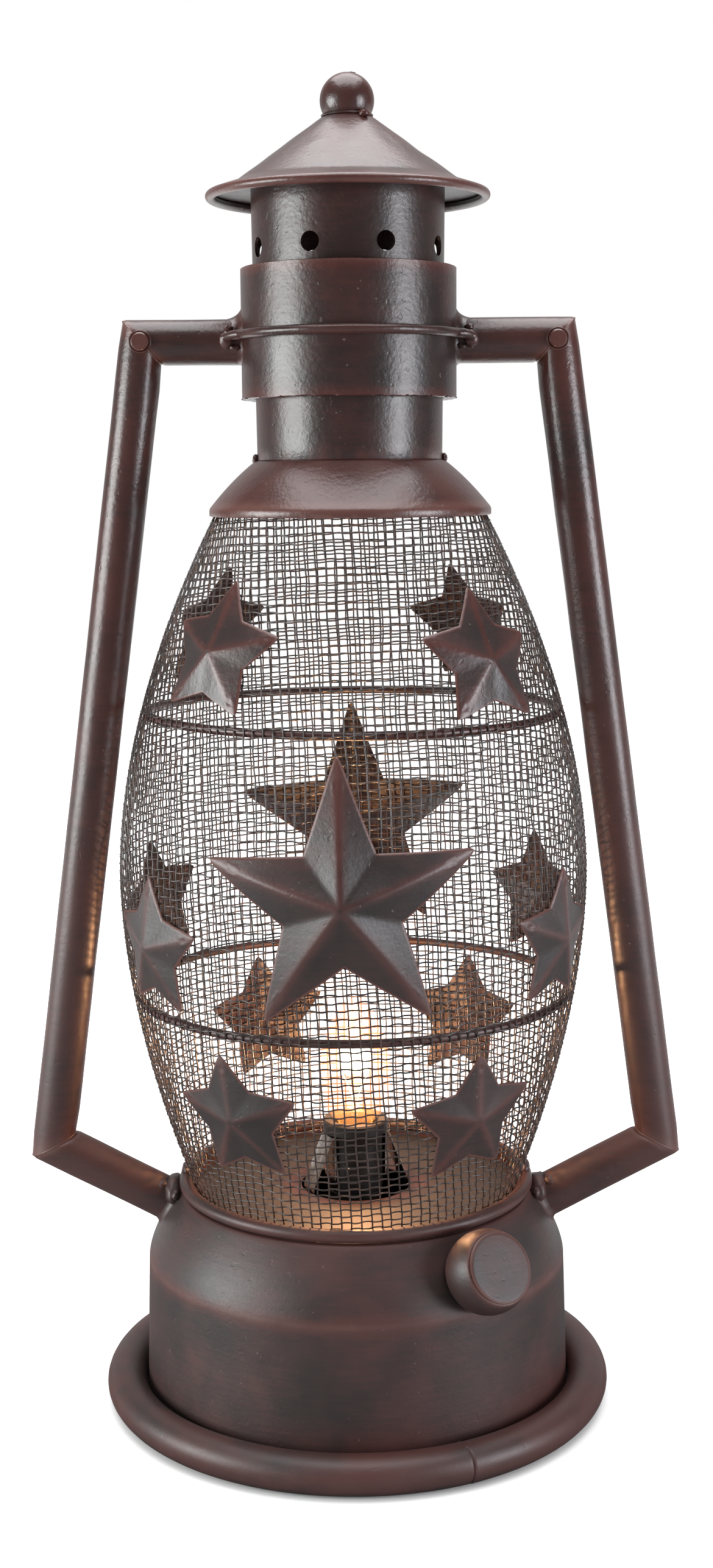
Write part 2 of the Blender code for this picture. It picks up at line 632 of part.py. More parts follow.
def tube_mesh(name, start, end, start_normal, end_normal):
    """A hollow tube between two points, its ends cut along planes with the given normals."""
    axis = (end - start).normalized()
    side = Vector((0.0, 1.0, 0.0))
    across = axis.cross(side).normalized()
    bm = bmesh.new()
    loops = []
    for point, normal in ((start, start_normal), (end, end_normal)):
        for radius in (HANDLE_TUBE_RADIUS, HANDLE_TUBE_RADIUS - HANDLE_TUBE_WALL):
            loop = []
            for step in range(TUBE_STEPS):
                angle = 2.0 * math.pi * (step + 0.5) / TUBE_STEPS
                offset = side * math.cos(angle) * radius + across * math.sin(angle) * radius
                slide = -offset.dot(normal) / axis.dot(normal)
                loop.append(bm.verts.new(point + offset + axis * slide))
            loops.append(loop)
    outer_start, inner_start, outer_end, inner_end = loops
    for loop_a, loop_b in ((outer_start, outer_end), (outer_end, inner_end),
                           (inner_end, inner_start), (inner_start, outer_start)):
        for step in range(TUBE_STEPS):
            following = (step + 1) % TUBE_STEPS
            bm.faces.new((loop_a[step], loop_a[following], loop_b[following], loop_b[step]))
    return finish_mesh(bm, name)


def mitre_normal(corner, first, second):
    """Normal of the plane that halves the angle at a corner."""
    return ((first - corner).normalized() - (second - corner).normalized()).normalized()


def base_envelope():
    """Solid that stands for the base cover and the bead, grown by the gap that a weld leaves."""
    side = [(radius + GAP, height) for radius, height in cover_path()[1:]]
    side[0] = (side[0][0], PAN_Z + GAP)
    bead_edge = BEAD_RADIUS + BEAD_TUBE_RADIUS + GAP
    side = [point for point in side if point[0] > bead_edge]
    above = PAN_Z + 2.0 * HANDLE_TUBE_RADIUS
    below = SEAM_Z - HANDLE_TUBE_RADIUS
    outline = [(0.0, above), (bead_edge, above), (bead_edge, PAN_Z)] + side
    return outline + [(SEAM_RADIUS + GAP, below), (0.0, below)]


def make_handles(paint):
    """Upper arm, side tube and lower arm on each side, and the pin through each upper corner."""
    reach = SLEEVE_GUIDE_REACH
    guide = cylinder_mesh("sleeve_guide", SLEEVE_RADIUS + GAP, -reach, reach, RING_STEPS)
    sleeve_cutter = add_cutter("sleeve_guide", guide)
    sleeve_cutter.location = (0.0, 0.0, ARM_Z)
    base_cutter = add_cutter("base_guide", spin_mesh("base_guide", base_envelope(), RING_STEPS))
    level = Vector((1.0, 0.0, 0.0))
    for name, side in (("left", -1.0), ("right", 1.0)):
        root = Vector((side * (SLEEVE_RADIUS - HANDLE_TUBE_RADIUS), 0.0, ARM_Z))
        upper = Vector((side * UPPER_CORNER_X, 0.0, ARM_Z))
        lower = Vector((side * LOWER_CORNER_X, 0.0, LOWER_CORNER_Z))
        seat_z = SEAM_Z + LOWER_ARM_SEAT_RISE
        seat = Vector((side * (cover_radius(seat_z) - 0.5 * HANDLE_TUBE_RADIUS), 0.0, seat_z))
        upper_normal = mitre_normal(upper, root, lower)
        lower_normal = mitre_normal(lower, upper, seat)
        half_gap = 0.5 * GAP
        arm_end = upper + (root - upper).normalized() * half_gap
        tube_top = upper + (lower - upper).normalized() * half_gap
        tube_foot = lower + (upper - lower).normalized() * half_gap
        lower_start = lower + (seat - lower).normalized() * half_gap
        meshes = {
            "upper_arm_" + name: tube_mesh("upper_arm", root, arm_end, level, upper_normal),
            "side_tube_" + name: tube_mesh("side_tube", tube_top, tube_foot, upper_normal, lower_normal),
            "lower_arm_" + name: tube_mesh("lower_arm", lower_start, seat, lower_normal, level),
        }
        tubes = {key: add_object(key, mesh, paint) for key, mesh in meshes.items()}
        cut_with(tubes["upper_arm_" + name], sleeve_cutter)
        cut_with(tubes["lower_arm_" + name], base_cutter)
        reach = HANDLE_TUBE_RADIUS + CORNER_PIN_PROUD
        pin_mesh = cylinder_mesh("corner_pin", CORNER_PIN_RADIUS, -reach, reach, TUBE_STEPS)
        reach = 2.0 * HANDLE_TUBE_RADIUS
        hole_mesh = cylinder_mesh("pin_hole", CORNER_PIN_RADIUS + GAP, -reach, reach, TUBE_STEPS)
        pin = add_object("corner_pin_" + name, pin_mesh, paint)
        hole = add_cutter("pin_hole_" + name, hole_mesh)
        for rod in (pin, hole):
            rod.rotation_euler = (0.5 * math.pi, 0.0, 0.0)
            rod.location = upper
        cut_with(tubes["upper_arm_" + name], hole)
        cut_with(tubes["side_tube_" + name], hole)


def star_facets(radius, notch, turn_deg):
    """The ten facets of a star, each as the flat (across, up) corners of its outer edge."""
    rim = []
    for index in range(2 * STAR_POINTS):
        reach = radius if index % 2 == 0 else radius * notch
        angle = math.pi * index / STAR_POINTS + math.radians(turn_deg)
        rim.append((reach * math.sin(angle), reach * math.cos(angle)))
    return list(zip(rim, rim[1:] + rim[:1]))


def make_star(name, placing, radius, notch, height, paint):
    """A pressed star that follows the globe, its middle raised and its points down on the mesh."""
    azimuth_deg, rise, turn_deg = placing
    middle_z = GLOBE_BOTTOM_Z + rise
    middle_radius = globe_radius(middle_z)
    step_z = 0.5 * NET_BAR_WIDTH
    lean = (globe_radius(middle_z + step_z) - globe_radius(middle_z - step_z)) / (2.0 * step_z)
    upright = math.cos(math.atan(lean))
    facets = star_facets(radius, notch, turn_deg)
    chord = math.dist(*facets[0]) / STAR_SPLITS
    sag = middle_radius * (1.0 - math.cos(0.5 * chord / middle_radius))
    rest = GAP + sag + STAR_SHEET

    def wrapped(across, up, lift):
        z = middle_z + up * upright
        out = azimuth_direction(azimuth_deg + math.degrees(across / middle_radius))
        return out * (globe_radius(z) + rest + lift) + Vector((0.0, 0.0, z))

    bm = bmesh.new()
    for first, second in facets:
        grid = {}
        for i in range(STAR_SPLITS + 1):
            for j in range(STAR_SPLITS + 1 - i):
                a = i / STAR_SPLITS
                b = j / STAR_SPLITS
                across = first[0] * a + second[0] * b
                up = first[1] * a + second[1] * b
                grid[i, j] = bm.verts.new(wrapped(across, up, height * (1.0 - a - b)))
        for i in range(STAR_SPLITS):
            for j in range(STAR_SPLITS - i):
                bm.faces.new((grid[i, j], grid[i + 1, j], grid[i, j + 1]))
                if i + j < STAR_SPLITS - 1:
                    bm.faces.new((grid[i + 1, j], grid[i + 1, j + 1], grid[i, j + 1]))
    bmesh.ops.remove_doubles(bm, verts=bm.verts[:], dist=WELD_DISTANCE)
    out = azimuth_direction(azimuth_deg)
    bm.normal_update()
    if sum(face.normal.dot(out) for face in bm.faces) < 0.0:
        bmesh.ops.reverse_faces(bm, faces=bm.faces[:])
    mesh = bpy.data.meshes.new(name)
    bm.to_mesh(mesh)
    bm.free()
    star = add_object(name, mesh, paint, smooth=False)
    plate = star.modifiers.new("sheet", "SOLIDIFY")
    plate.thickness = STAR_SHEET
    plate.offset = -1.0


def make_stars(paint):
    """Two large stars, front and rear, and three rows of small ones."""
    for name, placing in LARGE_STARS.items():
        make_star(name, placing, LARGE_STAR_RADIUS, LARGE_STAR_NOTCH, LARGE_STAR_HEIGHT, paint)
    for name, placing in SMALL_STARS.items():
        make_star(name, placing, SMALL_STAR_RADIUS, SMALL_STAR_NOTCH, SMALL_STAR_HEIGHT, paint)


def make_lamp_holder(plastic, brass):
    """Plastic holder with its brass screw shell and centre contact."""
    outline = [
        (HOLDER_BORE_RADIUS, HOLDER_TOP_Z),
        (HOLDER_COLLAR_RADIUS, HOLDER_TOP_Z),
        (HOLDER_COLLAR_RADIUS, COLLAR_BOTTOM_Z),
        (HOLDER_RADIUS, COLLAR_BOTTOM_Z),
        (HOLDER_RADIUS, HOLDER_BOTTOM_Z),
        (HOLDER_WIRE_HOLE_RADIUS, HOLDER_BOTTOM_Z),
        (HOLDER_WIRE_HOLE_RADIUS, HOLDER_FLOOR_Z),
        (HOLDER_BORE_RADIUS, HOLDER_FLOOR_Z),
    ]
    turned("lamp_holder", outline, plastic, SMALL_STEPS)
    outer = HOLDER_BORE_RADIUS - GAP
    inner = outer - SOCKET_SHELL_THICKNESS
    top = HOLDER_TOP_Z - SOCKET_SHELL_INSET
    bottom = top - SOCKET_SHELL_HEIGHT
    shell = [(inner, top), (outer, top), (outer, bottom), (inner, bottom)]
    turned("socket_shell", shell, brass, SMALL_STEPS)
    seat = HOLDER_FLOOR_Z + GAP
    tip = BULB_FOOT_Z - BULB_BUTTON_HEIGHT - GAP
    contact = [
        (0.0, tip),
        (CONTACT_PIP_RADIUS, tip),
        (CONTACT_PIP_RADIUS, seat + CONTACT_THICKNESS),
        (CONTACT_RADIUS, seat + CONTACT_THICKNESS),
        (CONTACT_RADIUS, seat),
        (0.0, seat),
    ]
    turned("socket_contact", contact, brass, TUBE_STEPS)


def make_clips(steel):
    """Two bent spring strips that brace the holder in the pan's hole."""
    inner_x = HOLDER_RADIUS + GAP + CLIP_THICKNESS
    outer_x = math.sqrt((PAN_HOLE_RADIUS - 2.0 * GAP) ** 2 - (0.5 * CLIP_WIDTH) ** 2)
    top_z = COLLAR_BOTTOM_Z - GAP
    tab_top = PAN_Z + 0.5 * CLIP_TAB
    outline = [
        (outer_x, tab_top - CLIP_TAB),
        (outer_x, tab_top),
        (inner_x + CLIP_THICKNESS, top_z - CLIP_THICKNESS),
        (inner_x, top_z),
        (inner_x - CLIP_THICKNESS, top_z),
        (inner_x - CLIP_THICKNESS, top_z - CLIP_LEG),
        (inner_x, top_z - CLIP_LEG),
        (inner_x, top_z - 2.0 * CLIP_THICKNESS),
        (outer_x - CLIP_THICKNESS, tab_top - CLIP_THICKNESS),
        (outer_x - CLIP_THICKNESS, tab_top - CLIP_TAB),
    ]
    turns = (("holder_clip_left", 180.0 + CLIP_TURN_DEG), ("holder_clip_right", CLIP_TURN_DEG))
    for name, turn in turns:
        bm = bmesh.new()
        corners = [bm.verts.new((x, -0.5 * CLIP_WIDTH, z)) for x, z in outline]
        face = bm.faces.new(corners)
        grown = bmesh.ops.extrude_face_region(bm, geom=[face])
        moved = [item for item in grown["geom"] if isinstance(item, bmesh.types.BMVert)]
        bmesh.ops.translate(bm, vec=(0.0, CLIP_WIDTH, 0.0), verts=moved)
        clip = add_object(name, finish_mesh(bm, name), steel, smooth=False)
        clip.rotation_euler = (0.0, 0.0, math.radians(turn))


def bulb_path():
    """Outer face of the bulb's glass, from its tip down to the end of the neck."""
    belly_z = BULB_SHELL_TOP_Z + BULB_BELLY_RISE
    tip_z = BULB_SHELL_TOP_Z + BULB_TIP_RISE
    tip = [
        (0.0, tip_z),
        (BULB_TIP_BLUNTNESS * BULB_RADIUS, tip_z),
        (BULB_RADIUS, belly_z + BULB_FLAME_FULLNESS * (tip_z - belly_z)),
        (BULB_RADIUS, belly_z),
    ]
    foot = [
        (BULB_RADIUS, belly_z),
        (BULB_RADIUS, belly_z - BULB_BELLY_FULLNESS * BULB_BELLY_RISE),
        (BULB_NECK_FLARE * BULB_NECK_RADIUS, BULB_SHELL_TOP_Z + BULB_NECK_EASE * BULB_BELLY_RISE),
        (BULB_NECK_RADIUS, BULB_SHELL_TOP_Z),
    ]
    path = []
    for knots in (tip, foot):
        curve = interpolate_bezier(*[Vector((x, z, 0.0)) for x, z in knots], BULB_CURVE_STEPS)
        path += [(point.x, point.y) for point in curve[:-1]]
    path.append((BULB_NECK_RADIUS, BULB_SHELL_TOP_Z))
    path.append((BULB_NECK_RADIUS, BULB_SHELL_TOP_Z - BULB_NECK_LENGTH))
    return path


def make_bulb(glass, brass, tungsten):
    """Glass, screw shell, centre button, stem and filament of the bulb."""
    path = bulb_path()
    inside = offset_path(path, BULB_GLASS_WALL)
    inside[0] = (0.0, path[0][1] - BULB_GLASS_WALL)
    turned("bulb_glass", path + inside[::-1], glass, SMALL_STEPS)

    valley = BULB_SHELL_RADIUS - BULB_THREAD_DEPTH
    path = [(valley, BULB_SHELL_TOP_Z)]
    for turn in range(BULB_THREADS):
        crest_z = BULB_SHELL_TOP_Z - (turn + 1) * BULB_THREAD_PITCH
        path.append((valley, crest_z + 0.5 * BULB_THREAD_PITCH))
        path.append((BULB_SHELL_RADIUS, crest_z))
    path += [(valley, THREAD_BOTTOM_Z), (BULB_FOOT_RADIUS, BULB_FOOT_Z), (BULB_EYE_RADIUS, BULB_FOOT_Z)]
    turned("bulb_shell", sheet_outline(path, BULB_SHELL_SHEET), brass, SMALL_STEPS)

    button_top = BULB_FOOT_Z + 2.0 * BULB_SHELL_SHEET
    button_foot = BULB_FOOT_Z - BULB_BUTTON_HEIGHT
    button_radius = BULB_EYE_RADIUS - GAP
    button = [
        (0.0, button_top),
        (button_radius, button_top),
        (button_radius, button_foot),
        (0.0, button_foot),
    ]
    turned("bulb_button", button, brass, TUBE_STEPS)

    foot_z = BULB_SHELL_TOP_Z - BULB_NECK_LENGTH
    top_z = foot_z + STEM_HEIGHT
    flare = BULB_NECK_RADIUS - BULB_GLASS_WALL - GAP
    stem = [
        (0.0, top_z),
        (STEM_RADIUS, top_z),
        (STEM_RADIUS, foot_z + STEM_FLARE_HEIGHT),
        (flare, foot_z),
        (0.0, foot_z),
    ]
    turned("filament_stem", stem, glass, TUBE_STEPS)
    lead_z = top_z + GAP
    half = [(0.5 * STEM_RADIUS, 0.0, lead_z)]
    for outward, upward in FILAMENT_BENDS:
        half.append((outward * FILAMENT_SPREAD, 0.0, lead_z + upward * FILAMENT_HEIGHT))
    curve_tube("filament", half + [(-x, y, z) for x, y, z in half[::-1]], FILAMENT_RADIUS, tungsten)


def make_knob(paint, steel, plastic):
    """Ball-backed knob with its face plate, its switch shaft, and the switch behind the cover."""
    axis = bpy.data.objects.new("knob_axis", None)
    bpy.context.collection.objects.link(axis)
    axis.matrix_world = knob_matrix()
    face_top = KNOB_BALL_LIFT + KNOB_FACE_LIFT
    face_bottom = face_top - KNOB_FACE_THICKNESS
    shell_top = face_bottom - GAP
    path = []
    for step in range(KNOB_STEPS + 1):
        along = shell_top + (KNOB_BACK_LIFT - shell_top) * step / KNOB_STEPS
        path.append((math.sqrt(KNOB_BALL_RADIUS ** 2 - (along - KNOB_BALL_LIFT) ** 2), along))
    hub_radius = SHAFT_RADIUS + GAP + KNOB_HUB_WALL
    hub_bottom = BUSHING_PROUD + GAP
    bore_top = face_bottom - 0.5 * KNOB_FACE_THICKNESS
    bore_radius = SHAFT_RADIUS + GAP
    face = [
        (0.0, face_top),
        (KNOB_FACE_RADIUS, face_top),
        (KNOB_FACE_RADIUS, face_bottom),
        (hub_radius, face_bottom),
        (hub_radius, hub_bottom),
        (bore_radius, hub_bottom),
        (bore_radius, bore_top),
        (0.0, bore_top),
    ]
    shaft_top = bore_top - GAP
    shaft_foot = SWITCH_FLOOR - SWITCH_DROP - SWITCH_LENGTH + GAP
    bushing = [
        (bore_radius, BUSHING_PROUD),
        (BUSHING_RADIUS, BUSHING_PROUD),
        (BUSHING_RADIUS, GAP - SWITCH_DROP),
        (bore_radius, GAP - SWITCH_DROP),
    ]
    switch = [
        (bore_radius, -SWITCH_DROP),
        (SWITCH_RADIUS, -SWITCH_DROP),
        (SWITCH_RADIUS, -SWITCH_DROP - SWITCH_LENGTH),
        (0.0, -SWITCH_DROP - SWITCH_LENGTH),
        (0.0, SWITCH_FLOOR - SWITCH_DROP - SWITCH_LENGTH),
        (bore_radius, SWITCH_FLOOR - SWITCH_DROP - SWITCH_LENGTH),
    ]
    nut_corner = NUT_FLATS_RADIUS / math.cos(math.pi / NUT_SIDES)
    nut_top = GAP + NUT_THICKNESS
    nut_mesh = cylinder_mesh("switch_nut", nut_corner, GAP, nut_top, NUT_SIDES)
    nut = add_object("switch_nut", nut_mesh, steel, smooth=False)
    hole_mesh = cylinder_mesh("nut_hole", BUSHING_RADIUS + GAP, -GAP, nut_top + GAP, SMALL_STEPS)
    nut_hole = add_cutter("nut_hole", hole_mesh)
    cut_with(nut, nut_hole)
    shaft_mesh = cylinder_mesh("switch_shaft", SHAFT_RADIUS, shaft_foot, shaft_top, SMALL_STEPS)
    pieces = [
        turned("knob_shell", sheet_outline(path, KNOB_WALL), paint, SMALL_STEPS),
        turned("knob_face", face, paint, SMALL_STEPS),
        add_object("switch_shaft", shaft_mesh, steel),
        turned("switch_bushing", bushing, steel, SMALL_STEPS),
        turned("switch_body", switch, plastic, SMALL_STEPS),
        nut,
        nut_hole,
    ]
    for piece in pieces:
        piece.parent = axis


def make_cord_bushing(rubber):
    """Grommet in the base wall where the cord leaves."""
    curve_drop = CORD_LIP_RADIUS ** 2 / (2.0 * wall_radius(CORD_EXIT_Z))
    inner = -(SHEET + GAP + curve_drop)
    outline = [
        (CORD_BORE_RADIUS, CORD_FLANGE_THICKNESS),
        (CORD_FLANGE_RADIUS, CORD_FLANGE_THICKNESS),
        (CORD_FLANGE_RADIUS, 2.0 * GAP),
        (CORD_BARREL_RADIUS, 2.0 * GAP),
        (CORD_BARREL_RADIUS, inner - GAP),
        (CORD_LIP_RADIUS, inner - GAP),
        (CORD_LIP_RADIUS, inner - GAP - CORD_LIP_THICKNESS),
        (CORD_BORE_RADIUS, inner - GAP - CORD_LIP_THICKNESS),
    ]
    bushing = turned("cord_bushing", outline, rubber, SMALL_STEPS)
    bushing.rotation_euler = (-0.5 * math.pi, 0.0, 0.0)
    bushing.location = (0.0, wall_radius(CORD_EXIT_Z), CORD_EXIT_Z)


def main():
    clear_scene()
    paint = make_material("bronze_paint", BRONZE_PAINT)
    wire = make_material("mesh_wire", MESH_WIRE)
    brass = make_material("brass", BRASS)
    steel = make_material("spring_steel", SPRING_STEEL)
    plastic = make_material("black_plastic", BLACK_PLASTIC)
    rubber = make_material("black_rubber", BLACK_RUBBER)
    glass = make_material("clear_glass", CLEAR_GLASS)
    tungsten = make_material("filament_wire", FILAMENT_WIRE)
    make_foot_ring(paint)
    make_base_wall(paint)
    make_base_cover(paint)
    make_base_pan(paint)
    make_globe_bead(paint)
    make_mesh_sheets(wire)
    make_hoops(paint)
    make_shoulder(paint)
    make_chimney(paint)
    make_sleeve(paint)
    make_tie_wires(paint)
    make_cap(paint)
    make_handles(paint)
    make_stars(paint)
    make_lamp_holder(plastic, brass)
    make_clips(steel)
    make_bulb(glass, brass, tungsten)
    make_knob(paint, steel, plastic)
    make_cord_bushing(rubber)


main()
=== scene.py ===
"""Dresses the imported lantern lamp: woven mesh, pressed stars, spun and welded sheet, and the studio.

Shapes are worked out in millimetres and become metres when their mesh is made.
"""
import json
import math

import bmesh
import bpy
from mathutils import Matrix, Vector, noise
from mathutils.geometry import interpolate_bezier


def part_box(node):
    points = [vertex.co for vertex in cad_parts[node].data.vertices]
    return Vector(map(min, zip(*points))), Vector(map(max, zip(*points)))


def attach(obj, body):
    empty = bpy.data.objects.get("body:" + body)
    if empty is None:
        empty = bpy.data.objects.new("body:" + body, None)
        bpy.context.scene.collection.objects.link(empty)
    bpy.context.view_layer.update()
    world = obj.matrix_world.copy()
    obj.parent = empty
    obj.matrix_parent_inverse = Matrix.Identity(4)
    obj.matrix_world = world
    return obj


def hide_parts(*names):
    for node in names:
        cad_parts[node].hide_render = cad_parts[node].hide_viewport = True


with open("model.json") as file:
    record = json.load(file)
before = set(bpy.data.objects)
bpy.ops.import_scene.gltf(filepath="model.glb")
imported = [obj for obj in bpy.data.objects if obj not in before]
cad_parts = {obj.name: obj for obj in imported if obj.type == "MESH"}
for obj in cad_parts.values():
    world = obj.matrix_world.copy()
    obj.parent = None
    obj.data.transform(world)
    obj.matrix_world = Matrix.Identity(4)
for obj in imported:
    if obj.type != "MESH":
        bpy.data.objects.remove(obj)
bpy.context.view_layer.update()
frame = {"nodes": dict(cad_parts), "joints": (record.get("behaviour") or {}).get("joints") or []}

bl_info = {
    "name": "Mesh lantern lamp",
    "version": (1, 0, 0),
    "blender": (4, 5, 0),
    "location": "View3D > Sidebar > Lantern",
    "description": "Builds the finished pieces of a star lantern lamp over its packed frame",
    "category": "Object",
}

MM = 0.001
REARWARD = Vector((0.0, 1.0, 0.0))
UPWARD = Vector((0.0, 0.0, 1.0))
SIDES = {"left": -1.0, "right": 1.0}

# Heights and radii of the lamp, in millimetres, as in the part.
# Base
SHEET = 0.9
FOOT_RADIUS = 73.2              # of the foot ring, to the middle of its tube
FOOT_TUBE = (6.2, 5.9)          # half its width, half its height
BUTT_SEAM = math.radians(25.0)  # azimuth at which the ring's ends meet
WALL_RADIUS = 66.7
WALL_TAPER = 1.3
WALL_FOOT = 2.0
SEAM_Z = 46.6
WALL_HEIGHT = SEAM_Z - WALL_FOOT
COVER_RADIUS = 65.4
COVER_PULL_IN = 9.9
COVER_POWER = 1.45
PAN_Z = 67.4
PAN_HOLE = 17.5
PAN_EDGE = 54.6
PAN_CORNER = 1.0
CORD_EXIT = (0.0, 66.0, 21.0)
CORD_BORE = 4.9
GROMMET_Y = 66.16
BEAD_RING = 53.5
BEAD_Z = 69.64
BEAD_TUBE = 2.1
# Globe
GLOBE_FOOT_Z = 67.7
BELLY_Z = 168.0
BELLY_RADIUS = 71.7
GLOBE_FOOT_RADIUS = 50.8
GLOBE_NECK_RADIUS = 40.9
GLOBE_POWER = 1.83
LIP_Z = 277.0
HOOPS = {"upper_hoop": 217.6, "lower_hoop": 131.1}
HOOP_INSET = 1.9
HOOP_TUBE = 1.3
# Shoulder, chimney and sleeve
SHOULDER_BORE = 26.1
SHOULDER_NECK = 28.3
SHOULDER_TOP_Z = 293.0
SHOULDER_SPREAD = 14.1
SHOULDER_DROP = 14.2
SHOULDER_BULGE = 3.6
CHIMNEY_RADIUS = 27.7
CHIMNEY_FLARE = 0.9
CHIMNEY_FLARE_HEIGHT = 76.5
CHIMNEY_FOOT_Z = 293.3
CHIMNEY_TOP_Z = 374.6
CHIMNEY_SHEET = 0.8
VENT_PAIRS = 4
VENT_Z = CHIMNEY_FOOT_Z + 61.1
VENT_RADIUS = 2.85
SLEEVE_RADIUS = 32.0
SLEEVE_FOOT_Z = 311.0
SLEEVE_TOP_Z = 349.2
SLEEVE_SHEET = 0.7
SOLDER_DROPS = 26
TIE_Z = 329.6
TIE_RADIUS = 33.4
TIE_WIRE = 1.4
TIE_HALF_ARC = math.radians(72.0)
# Cap: a cone, a flatter brim, and a curl that the brim touches
CAP_SHEET = 0.55
CAP_TOP_RADIUS = 7.0
CAP_SLOPE = math.radians(35.8)
BRIM_RADIUS = 33.4
BRIM_SLOPE = math.radians(18.0)
CURL_RADIUS = 40.6
CURL_TUBE = 1.4
CURL_Z = 369.8
CURL_START = math.radians(72.0)
CURL_END = math.radians(-214.0)
BRIM_END = (CURL_RADIUS + CURL_TUBE * math.sin(BRIM_SLOPE), CURL_Z + CURL_TUBE * math.cos(BRIM_SLOPE))
BRIM_Z = BRIM_END[1] + (BRIM_END[0] - BRIM_RADIUS) * math.tan(BRIM_SLOPE)
CAP_TOP_Z = BRIM_Z + (BRIM_RADIUS - CAP_TOP_RADIUS) * math.tan(CAP_SLOPE)
FINIAL_RADIUS = 8.0
# Handle frame
TUBE_RADIUS = 6.7
TUBE_SIDES = 48
ARM_Z = 328.0
ARM_ROOT_X = 20.0
UPPER_CORNER_X = 61.6
LOWER_CORNER = (95.0, 81.0)
ARM_SEAT_Z = 60.6
ARM_SEAT_DEPTH = 3.35
MITRE_GAP = 0.08
SEAM_DEPTH = 0.52
PIN_COLLAR = 3.1
COVER_LUMPS = (                 # middle and half sizes of the solder lumps at the right lower arm
    ((57.2, -0.8, 65.6), (3.6, 7.9, 4.5)), ((53.4, 0.4, 71.8), (1.6, 3.6, 2.5)),
    ((61.0, -2.0, 67.4), (2.6, 3.4, 2.6)), ((56.4, -8.3, 66.4), (1.3, 2.0, 1.7)),
    ((59.6, -4.6, 57.6), (1.3, 3.0, 3.0)),
)
# Stars
# A kind gives the tip radius, the notch as a share of it, the pressed height and the steps of a facet
LARGE_STAR = (41.8, 0.41, 6.5, 26)
SMALL_STAR = (21.4, 0.56, 2.8, 18)
STAR_SHEET = 0.7
STAR_GAP = 1.0
# A star gives its kind, azimuth, height of its middle above the mesh's foot, and how far it sits askew
STARS = {
    "star_large_front": (LARGE_STAR, -2.5, 103.8, -2.0),
    "star_large_rear": (LARGE_STAR, 179.5, 104.1, 1.5),
    "star_upper_1": (SMALL_STAR, -41.5, 171.8, 5.0),
    "star_upper_2": (SMALL_STAR, 40.0, 169.3, 0.5),
    "star_upper_3": (SMALL_STAR, 139.5, 172.8, 3.0),
    "star_upper_4": (SMALL_STAR, -129.0, 172.8, -1.0),
    "star_middle_1": (SMALL_STAR, -55.0, 85.5, 1.5),
    "star_middle_2": (SMALL_STAR, 56.5, 87.0, 3.5),
    "star_middle_3": (SMALL_STAR, 123.0, 84.5, 6.0),
    "star_middle_4": (SMALL_STAR, -117.0, 83.8, 7.0),
    "star_lower_1": (SMALL_STAR, -33.0, 37.0, -5.0),
    "star_lower_2": (SMALL_STAR, 33.0, 36.8, -2.5),
    "star_lower_3": (SMALL_STAR, 144.5, 39.2, 3.0),
    "star_lower_4": (SMALL_STAR, -151.5, 38.5, 1.0),
}
# Holder, bulb and knob
HOLDER_TOP_Z = 88.5
HOLDER_LENGTH = 38.0
HOLDER_COLLAR = 4.0
CLIP_TURNS = {"left": 205.0, "right": 25.0}
CLIP_HALF_WIDTH = 3.75
BULB_SHELL_TOP_Z = 87.3
BULB_FOOT_Z = BULB_SHELL_TOP_Z - 7.0
BULB_RADIUS = 11.2
BULB_NECK = 4.8
BULB_GLASS = 0.6
BULB_BELLY_Z = BULB_SHELL_TOP_Z + 16.5
BULB_TIP_Z = BULB_SHELL_TOP_Z + 40.4
LEAD_Z = BULB_FOOT_Z + 15.8
COIL_TURNS = 22
COIL_RADIUS = 0.42
KNOB_BALL = 12.4
KNOB_CENTRE = 6.3
KNOB_CUT = 6.1
KNOB_TOP = 13.5
# Studio: softboxes by azimuth, elevation, width and height in metres, share of the left one's power, colour
SOFTBOXES = {
    "softbox_left": (-71.0, 5.0, 0.66, 0.50, 1.0, (0.97, 1.0, 0.99)),
    "softbox_right": (62.0, 3.0, 0.44, 0.50, 0.64, (0.94, 0.95, 1.0)),
    "softbox_top": (180.0, 87.0, 1.1, 1.2, 1.7, (1.0, 0.99, 1.0)),
}
SOFTBOX_AIM = Vector((0.0, 0.0, 0.2))
SOFTBOX_DISTANCE = 1.05
CAMERA_PLACE = (0.0012, -0.629, 0.2889)
CAMERA_PITCH = math.radians(90.0 - 8.52)
CAMERA_ROLL = math.radians(-0.463)


def globe_radius(height):
    """Radius of the mesh globe at a height."""
    if height < BELLY_Z:
        share = (BELLY_Z - height) / (BELLY_Z - BEAD_Z)
        end = GLOBE_FOOT_RADIUS
    else:
        share = (height - BELLY_Z) / (LIP_Z - BELLY_Z)
        end = GLOBE_NECK_RADIUS
    return BELLY_RADIUS - (BELLY_RADIUS - end) * share ** GLOBE_POWER


def cover_radius(height):
    """Radius of the base cover's side at a height."""
    share = max(0.0, (height - SEAM_Z) / (PAN_Z - PAN_CORNER - SEAM_Z))
    return COVER_RADIUS - COVER_PULL_IN * share ** COVER_POWER


def chimney_radius(height):
    """Radius of the chimney tube at a height."""
    return CHIMNEY_RADIUS + CHIMNEY_FLARE * (height - CHIMNEY_FOOT_Z) / CHIMNEY_FLARE_HEIGHT


# Steps, angles and fades

def stepped(first, last, steps):
    """Numbers in even steps, both ends included."""
    return [first + (last - first) * k / steps for k in range(steps + 1)]


def full_turn(count):
    """Angles in even steps round a circle."""
    return [2.0 * math.pi * k / count for k in range(count)]


def around(angle, radius, height=0.0):
    """A point at an azimuth that is counted from the front."""
    return Vector((radius * math.sin(angle), -radius * math.cos(angle), height))


